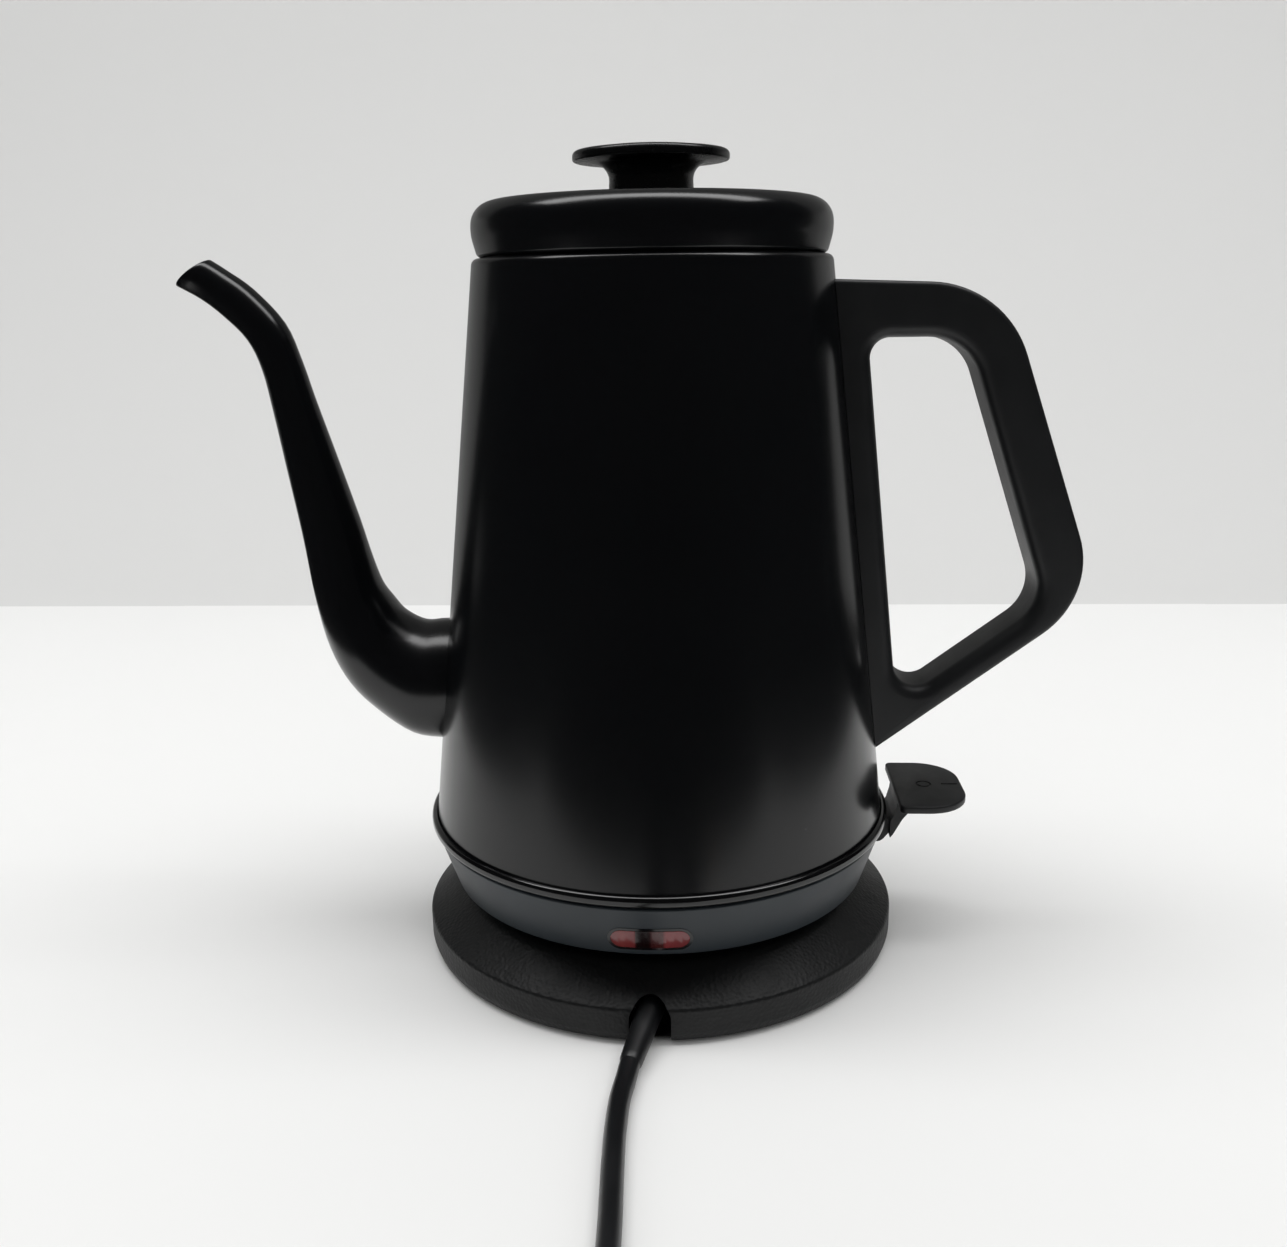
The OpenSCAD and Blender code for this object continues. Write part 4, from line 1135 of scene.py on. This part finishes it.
    def inside(self) -> None:
        """The pieces in and under the body."""
        for node, finish, edge in (
            ("spout_strainer", DRAWN_STEEL, 0.0),
            ("heater_plate", DRAWN_STEEL, 0.1),
            ("heat_spreader", CAST_ALUMINIUM, 0.4),
            ("heating_element", DULL_ALUMINIUM, 0.0),
            ("kettle_connector", FILLED_NYLON, 0.2),
            ("connector_pins", BRASS, 0.0),
            ("steam_tube", DRAWN_STEEL, 0.0),
            ("tube_seal", RED_SILICONE, 0.2),
            ("steam_switch", NATURAL_NYLON, 0.2),
            ("steam_bimetal", BIMETAL, 0.0),
            ("switch_contacts", BRASS, 0.0),
            ("lever_pin", ZINC_STEEL, 0.1),
            ("bottom_cover", SATIN_PP, 0.3),
            ("bottom_screws", ZINC_STEEL, 0.0),
        ):
            dress(smoothed(node, edge=edge), self.body, finish)


@dataclass
class Handle:
    """The loop handle with its cover strip, in millimetres."""

    body: str = "kettle"
    half: float = 11.0
    cover_half: float = 8.0
    cover_thick: float = 2.2
    outside: tuple[Corner, ...] = (
        (40, 218.1, 5), (106.7, 215.438, 33), (140.9, 118.8, 28), (62, 59.467, 5),
    )
    opening: tuple[Corner, ...] = (
        (66.304, 200, 6), (96.4, 200, 17), (124.8, 116.2, 14.5), (79.138, 82, 7.5),
    )
    steps: int = 16
    straights: int = 6

    def outline(self, corners: Sequence[Corner]) -> list[Point2]:
        """An outline with the same count of points for every part of the handle."""
        return rounded(corners, self.steps, self.straights)

    def loop(self) -> Piece:
        """The loop: tight outer edges and a broad soft edge round the finger opening."""
        outer, inner = self.outline(self.outside), self.outline(self.opening)
        bm = frame_slab(outer, inner, self.half)
        rim = bm.edges.layers.int["rim"]
        bevel(bm, 1.5, 5, lambda e: e[rim] == 1)
        bevel(bm, 4.2, 7, lambda e: e[rim] == 2)
        piece = keep(clean(bm), "handle_loop", 40)
        cut(piece, body_cone(0.1))
        self.recess(piece)
        shade(piece, 35)
        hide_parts("handle_shell")
        return dress(piece, self.body, SPARK_PP)

    def recess(self, piece: Piece) -> None:
        """Cuts the band that the cover strip fills, with a fine gap beside it."""
        outer = self.outline(inset(self.outside, -1.0))
        inner = self.outline(inset(self.outside, self.cover_thick))
        cut(piece, keep(frame_slab(outer, inner, self.cover_half + 0.25), "band_tool"))

    def cover(self) -> Piece:
        """The cover strip round the outside, with eased edges."""
        outer = self.outline(self.outside)
        inner = self.outline(inset(self.outside, self.cover_thick))
        bm = frame_slab(outer, inner, self.cover_half)
        bevel(bm, 0.6, 3, crease(60))
        piece = keep(clean(bm), "handle_cover_strip", 40)
        cut(piece, body_cone(0.1))
        shade(piece, 35)
        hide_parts("handle_cover")
        return dress(piece, self.body, SPARK_PP)

    def fixings(self) -> None:
        """The welded brackets and their screws."""
        dress(smoothed("handle_brackets"), self.body, DRAWN_STEEL)
        dress(smoothed("handle_screws"), self.body, ZINC_STEEL)


@dataclass
class SwitchLever:
    """The lever beside the handle's foot, in millimetres."""

    body: str = "lever"
    inner: float = 80.2
    tip: float = 103.5
    half: float = 20.0
    under: float = 48.0
    top: float = 50.6
    hub: float = 5.2
    neck: float = 9.0
    pivot: Point2 = (67, 34)
    engraved: float = 0.35

    def paddle(self) -> Piece:
        """The flat paddle, a tongue with straight sides and a rounded end."""
        plan = rounded(
            [
                (self.inner, -self.half, 2), (self.tip, -self.half, 14),
                (self.tip, self.half, 14), (self.inner, self.half, 2),
            ],
            14,
        )
        bm = slab(plan, self.under, self.top)
        for vert in bm.verts:
            vert.co = Vector((vert.co.x, vert.co.z, vert.co.y))
        bmesh.ops.recalc_face_normals(bm, faces=bm.faces)
        bevel(bm, 0.6, 3, crease(60))
        return keep(bm, "paddle_tongue", 40)

    def side(self) -> list[Point2]:
        """The lever's side view: tail, hub, arm through the collar's slot, and neck."""
        return rounded(
            [
                (58, 33.2, 0.4), (67, 31, 2), (76.2, 31.6, 3), (79.6, 35.8, 4), (82.6, 41.4, 6),
                (88.2, 48), (88.2, 49), (80.8, 49), (80.4, 45.6, 1), (79.4, 42, 2), (76.2, 37.4, 2),
                (67, 37, 2), (63, 35.4, 1), (58, 35.4, 0.4),
            ],
            8,
        )

    def pivot_rod(self, name: str, radius: float, half: float) -> Piece:
        """A rod along the lever's pivot, as long as twice its half."""
        x, z = self.pivot
        return cylinder(name, radius, Vector((x, -half, z)), Vector((x, half, z)))

    def mark_rod(self, name: str, radius: float, low: float, high: float) -> Piece:
        """An upright rod where the ring is engraved, from one height to another."""
        x = self.inner + 10.4
        return cylinder(name, radius, Vector((x, 0, low)), Vector((x, 0, high)))

    def lever(self) -> Piece:
        """The lever with its paddle and its engraved marks."""
        piece = self.paddle()
        arm = slab(self.side(), -self.hub, self.hub)
        cut(piece, keep(arm, "arm_tool", 40), Cut.JOIN)
        neck = slab(self.side(), -self.neck, self.neck)
        wide = keep(neck, "neck_tool", 40)
        cut(wide, block("arm_cutter", (50, -20, 20), (78.6, 20, 60)))
        cut(piece, wide, Cut.JOIN)
        cut(piece, self.pivot_rod("hub_tool", 3.4, self.hub), Cut.JOIN)
        cut(piece, self.pivot_rod("pin_tool", 1.55, 12))
        level = self.top - self.engraved
        ring = self.mark_rod("ring_tool", 2.6, level, self.top + 1)
        cut(ring, self.mark_rod("core_tool", 1.9, level - 1, self.top + 2))
        cut(piece, ring)
        dash = self.inner + 16.4
        cut(piece, block("dash_tool", (dash, -0.4, level), (dash + 5.4, 0.4, self.top + 1)))
        shade(piece, 35)
        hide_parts("switch_lever")
        return dress(piece, self.body, MATT_ABS)

    def plunger(self) -> Piece:
        """The plunger that the lever's tail lifts."""
        return dress(smoothed("switch_plunger", edge=0.2), "plunger", NATURAL_NYLON)


@dataclass
class Lid:
    """The lift-off lid with its knob, in millimetres."""

    body: str = "lid"
    radius: float = 54.9
    level: float = 225.7
    side: float = 15.4
    crown: float = 2.4
    wall: float = 0.8
    knob_radius: float = 23.9
    knob_height: float = 13.6
    stem: float = 12.6
    gap_shade_radius: float = 47.0

    def shell(self) -> Piece:
        """The painted lid with its crowned top."""
        top = self.level + self.side
        crown = top + self.crown
        lip = self.radius - 3.6
        piece = turned(
            "lid_shell_painted",
            [
                (2, crown), (self.stem + 2, crown, 8), (self.radius - 0.2, top, 7),
                (self.radius + 0.7, self.level + self.side * 0.42, 16),
                (self.radius - 1.2, self.level - 0.5, 1.8), (lip, self.level - 0.5),
                (lip, self.level + self.wall), (self.radius - 1.4, self.level + 3.5, 3),
                (self.radius - 1.6, top - self.wall, 6), (self.stem, crown - self.wall),
                (2, crown - self.wall),
            ],
            14,
        )
        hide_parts("lid_shell")
        return dress(piece, self.body, BAKED_PAINT)

    def knob(self) -> Piece:
        """The knob: a thin disc that flares from its stem."""
        crown = self.level + self.side + self.crown
        disc = crown + self.knob_height - 5.2
        piece = turned(
            "lid_knob_moulded",
            [
                (0, crown), (self.stem + 0.4, crown, 0.6), (self.stem, disc, 5),
                (self.knob_radius, disc + 0.9, 0.7), (self.knob_radius, disc + 3.7, 1.5),
                (13, crown + self.knob_height - 0.1, 70), (0, crown + self.knob_height - 0.1),
            ],
            12,
        )
        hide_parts("lid_knob")
        return dress(piece, self.body, PHENOLIC)

    def inside(self) -> None:
        """The pan under the lid, its seal and the knob's screw; the pan's rim past a radius is
        painted black as painted shade, so the gap under the lid reads dark.
        """
        plug = dress(smoothed("lid_plug"), self.body, DRAWN_STEEL, BAKED_PAINT)
        # Faces beyond this radius sit in the gap under the lid's edge and get black paint as
        # painted shade.
        for face in plug.data.polygons:
            out = math.hypot(face.center.x, face.center.y)
            face.material_index = 1 if out > self.gap_shade_radius * MM else 0
        dress(smoothed("lid_gasket"), self.body, GREY_SILICONE)
        dress(smoothed("knob_screw"), self.body, ZINC_STEEL)


# ---------------------------------------------------------------- studio


def unseen(piece: Piece, *rays: str) -> None:
    """Hides a piece from kinds of ray, such as camera, diffuse, glossy or shadow."""
    for ray in rays:
        setattr(piece, f"visible_{ray}", False)


@dataclass
class Studio:
    """A pale paper sweep, its wall painted darker as painted shade, soft light from above and the
    camera, in metres.
    """

    camera_place: tuple[float, float, float] = (0.01724, -0.39965, 0.215)
    camera_yaw: float = 3.1
    camera_pitch: float = -15.04
    camera_roll: float = -0.87
    lens: float = 34.685
    paper: str = "#EFEFEE"
    # The wall is the same paper as the floor, painted darker as painted shade; the stretch that
    # only reflections meet is painted darker still.
    shade_darkened_wall_paper: str = "#D9D9D8"
    shade_darkened_mirror_paper: str = "#B0B0AF"
    room: float = 0.52
    # The drape's faint glow: painted light that only reflections meet.
    ambient: float = 0.015
    near: tuple[float, float, float, float] = (-0.36, 0.36, -0.27, 0.45)
    wall: float = 0.95
    middle: float = 1.7
    ring: float = 1.3
    bend: float = 0.5
    reach: float = 3.5

    def paper_piece(
        self, name: str, line: Sequence[Point2], left: float, right: float, colour: str
    ) -> Piece:
        """A stretch of paper along a line in the YZ plane, between two places along X."""
        bm = bmesh.new()
        verts = [bm.verts.new((left, y, z)) for y, z in line]
        edges = [bm.edges.new(pair) for pair in zip(verts, verts[1:])]
        grown = bmesh.ops.extrude_edge_only(bm, edges=edges)
        shift(bm, grown, Vector((right - left, 0, 0)))
        bmesh.ops.recalc_face_normals(bm, faces=bm.faces)
        piece = keep(bm, name, 60)
        piece.data.materials.append(self.paper_material(name, colour))
        return piece

    def bend_line(self, start: float, low: float, steps: int) -> list[Point2]:
        """The bend at a wall's foot and the wall above it, outwards from a distance."""
        line = [
            (start + self.bend * math.sin(a), self.bend - self.bend * math.cos(a) + low)
            for a in (math.pi / 2 * k / steps for k in range(steps + 1))
        ]
        return [*line, (start + self.bend, 3.0)]

    def sweep(self) -> None:
        """The paper: a wide floor, a sheet under the kettle, and a wall behind it.

        The wall is painted darker than the floor as painted shade. Reflections meet only the sheet
        and a stretch of the wall painted darker still as painted shade, which nothing else meets.
        """
        start = self.wall - self.bend
        under = -0.2 * MM
        line = [(-self.reach, under), (start, under)]
        floor = self.paper_piece("paper_floor", line, -self.reach, self.reach, self.paper)
        unseen(floor, "glossy")
        left, right, front, back = self.near
        self.paper_piece("paper_sheet", [(front, 0), (back, 0)], left, right, self.paper)
        line = self.bend_line(start, under, 24)
        wall = self.paper_piece("paper_wall_painted_shade", line, -self.reach, self.reach, self.shade_darkened_wall_paper)
        unseen(wall, "glossy")
        middle = self.paper_piece("paper_backdrop_painted_shade", line, -self.middle, self.middle, self.shade_darkened_mirror_paper)
        unseen(middle, "camera", "diffuse", "shadow")
        self.surround()

    def surround(self) -> None:
        """A round paper wall that only the camera meets, for the views that turn from the front, in
        the wall's darker painted-shade tone.
        """
        bm = bmesh.new()
        verts = [bm.verts.new((x, 0, z)) for x, z in self.bend_line(self.ring, 0, 16)]
        edges = [bm.edges.new(pair) for pair in zip(verts, verts[1:])]
        spin(bm, verts + edges, 96)
        piece = keep(bm, "paper_surround", 60)
        piece.data.materials.append(self.paper_material("paper_wall_painted_shade", self.shade_darkened_wall_paper))
        unseen(piece, "glossy", "diffuse", "shadow", "transmission")

    def drape(self) -> None:
        """A black drape round the room that only reflections meet: painted shade standing in for
        the dark room, glowing faintly as painted light.
        """
        bm = bmesh.new()
        bmesh.ops.create_uvsphere(bm, u_segments=32, v_segments=16, radius=2 * self.reach)
        bmesh.ops.reverse_faces(bm, faces=bm.faces)
        piece = keep(bm, "black_drape", 60)
        made = bpy.data.materials.new("drape_painted_shade_black")
        made.use_nodes = True
        shader = made.node_tree.nodes["Principled BSDF"]
        shader.inputs["Base Color"].default_value = srgb("#050505")
        shader.inputs["Roughness"].default_value = 1.0
        shader.inputs["Emission Color"].default_value = srgb("#FFFFFF")
        shader.inputs["Emission Strength"].default_value = self.ambient
        piece.data.materials.append(made)
        unseen(piece, "camera", "diffuse", "shadow", "transmission")

    def paper_material(self, name: str, colour: str) -> bpy.types.Material:
        """Matt coated paper with a faint drift in how rough it is."""
        return Finish(f"{name}_coated_matt", "", colour, colour, 300, (0.8, 0.9), 200).material()

    def light(
        self,
        name: str,
        place: Sequence[float],
        aim: Sequence[float],
        size: Sequence[float],
        power: float,
        mirrored: bool = True,
    ) -> None:
        """Adds a soft box.

        Args:
            name: its name.
            place: where it stands, in metres.
            aim: the point that it faces.
            size: its width and height in metres.
            power: its power in watts.
            mirrored: whether it is seen in reflections.
        """
        lamp = bpy.data.lights.new(name, "AREA")
        lamp.shape = "RECTANGLE"
        lamp.size, lamp.size_y = size
        lamp.energy = power
        holder = bpy.data.objects.new(name, lamp)
        holder.location = place
        holder.rotation_euler = (Vector(aim) - Vector(place)).to_track_quat("-Z", "Y").to_euler()
        holder.visible_glossy = mirrored
        holder.visible_camera = False
        bpy.context.scene.collection.objects.link(holder)

    def lights(self) -> None:
        """A soft box overhead, a pair at the sides that isn't mirrored, and a pale room."""
        self.light("overhead_softbox", (0.0, 0.02, 1.4), (0.0, 0.0, 0.0), (2.2, 0.42), 15.5)
        self.light("left_softbox", (-1.5, 0.1, 0.7), (0.0, 0.0, 0.1), (0.6, 1.0), 1.5, False)
        self.light("right_softbox", (1.5, 0.1, 0.7), (0.0, 0.0, 0.1), (0.6, 1.0), 1.5, False)
        world = bpy.data.worlds.new("pale_room")
        bpy.context.scene.world = world
        world.use_nodes = True
        world.node_tree.nodes["Background"].inputs["Color"].default_value = srgb("#FFFFFF")
        world.node_tree.nodes["Background"].inputs["Strength"].default_value = self.room

    def camera(self) -> None:
        """The camera, close and a little above, looking down past the lid."""
        data = bpy.data.cameras.new("view")
        data.sensor_fit = "HORIZONTAL"
        data.sensor_width = 36
        data.lens = self.lens
        data.clip_start = 0.02
        data.clip_end = 20
        holder = bpy.data.objects.new("view", data)
        holder.matrix_world = (
            Matrix.Translation(self.camera_place)
            @ Matrix.Rotation(math.radians(self.camera_yaw), 4, "Z")
            @ Matrix.Rotation(math.radians(90 + self.camera_pitch), 4, "X")
            @ Matrix.Rotation(math.radians(self.camera_roll), 4, "Z")
        )
        bpy.context.scene.collection.objects.link(holder)
        bpy.context.scene.camera = holder

    def set_up(self) -> None:
        """Builds the studio and fixes how its tones are shown."""
        self.camera()
        self.lights()
        self.sweep()
        self.drape()
        bpy.context.scene.view_settings.view_transform = "Standard"


def main() -> None:
    """Builds every sub-assembly in order."""
    logging.basicConfig(level=logging.INFO, format="%(message)s")
    Studio().set_up()
    MainsLead().lay()
    base = PowerBase()
    base.cover()
    base.inside()
    vessel = Vessel()
    vessel.shell()
    vessel.spout()
    vessel.collar()
    vessel.rim()
    vessel.lamp()
    vessel.inside()
    handle = Handle()
    handle.loop()
    handle.cover()
    handle.fixings()
    switch = SwitchLever()
    switch.lever()
    switch.plunger()
    lid = Lid()
    lid.shell()
    lid.knob()
    lid.inside()


if __name__ == "__main__":
    main()
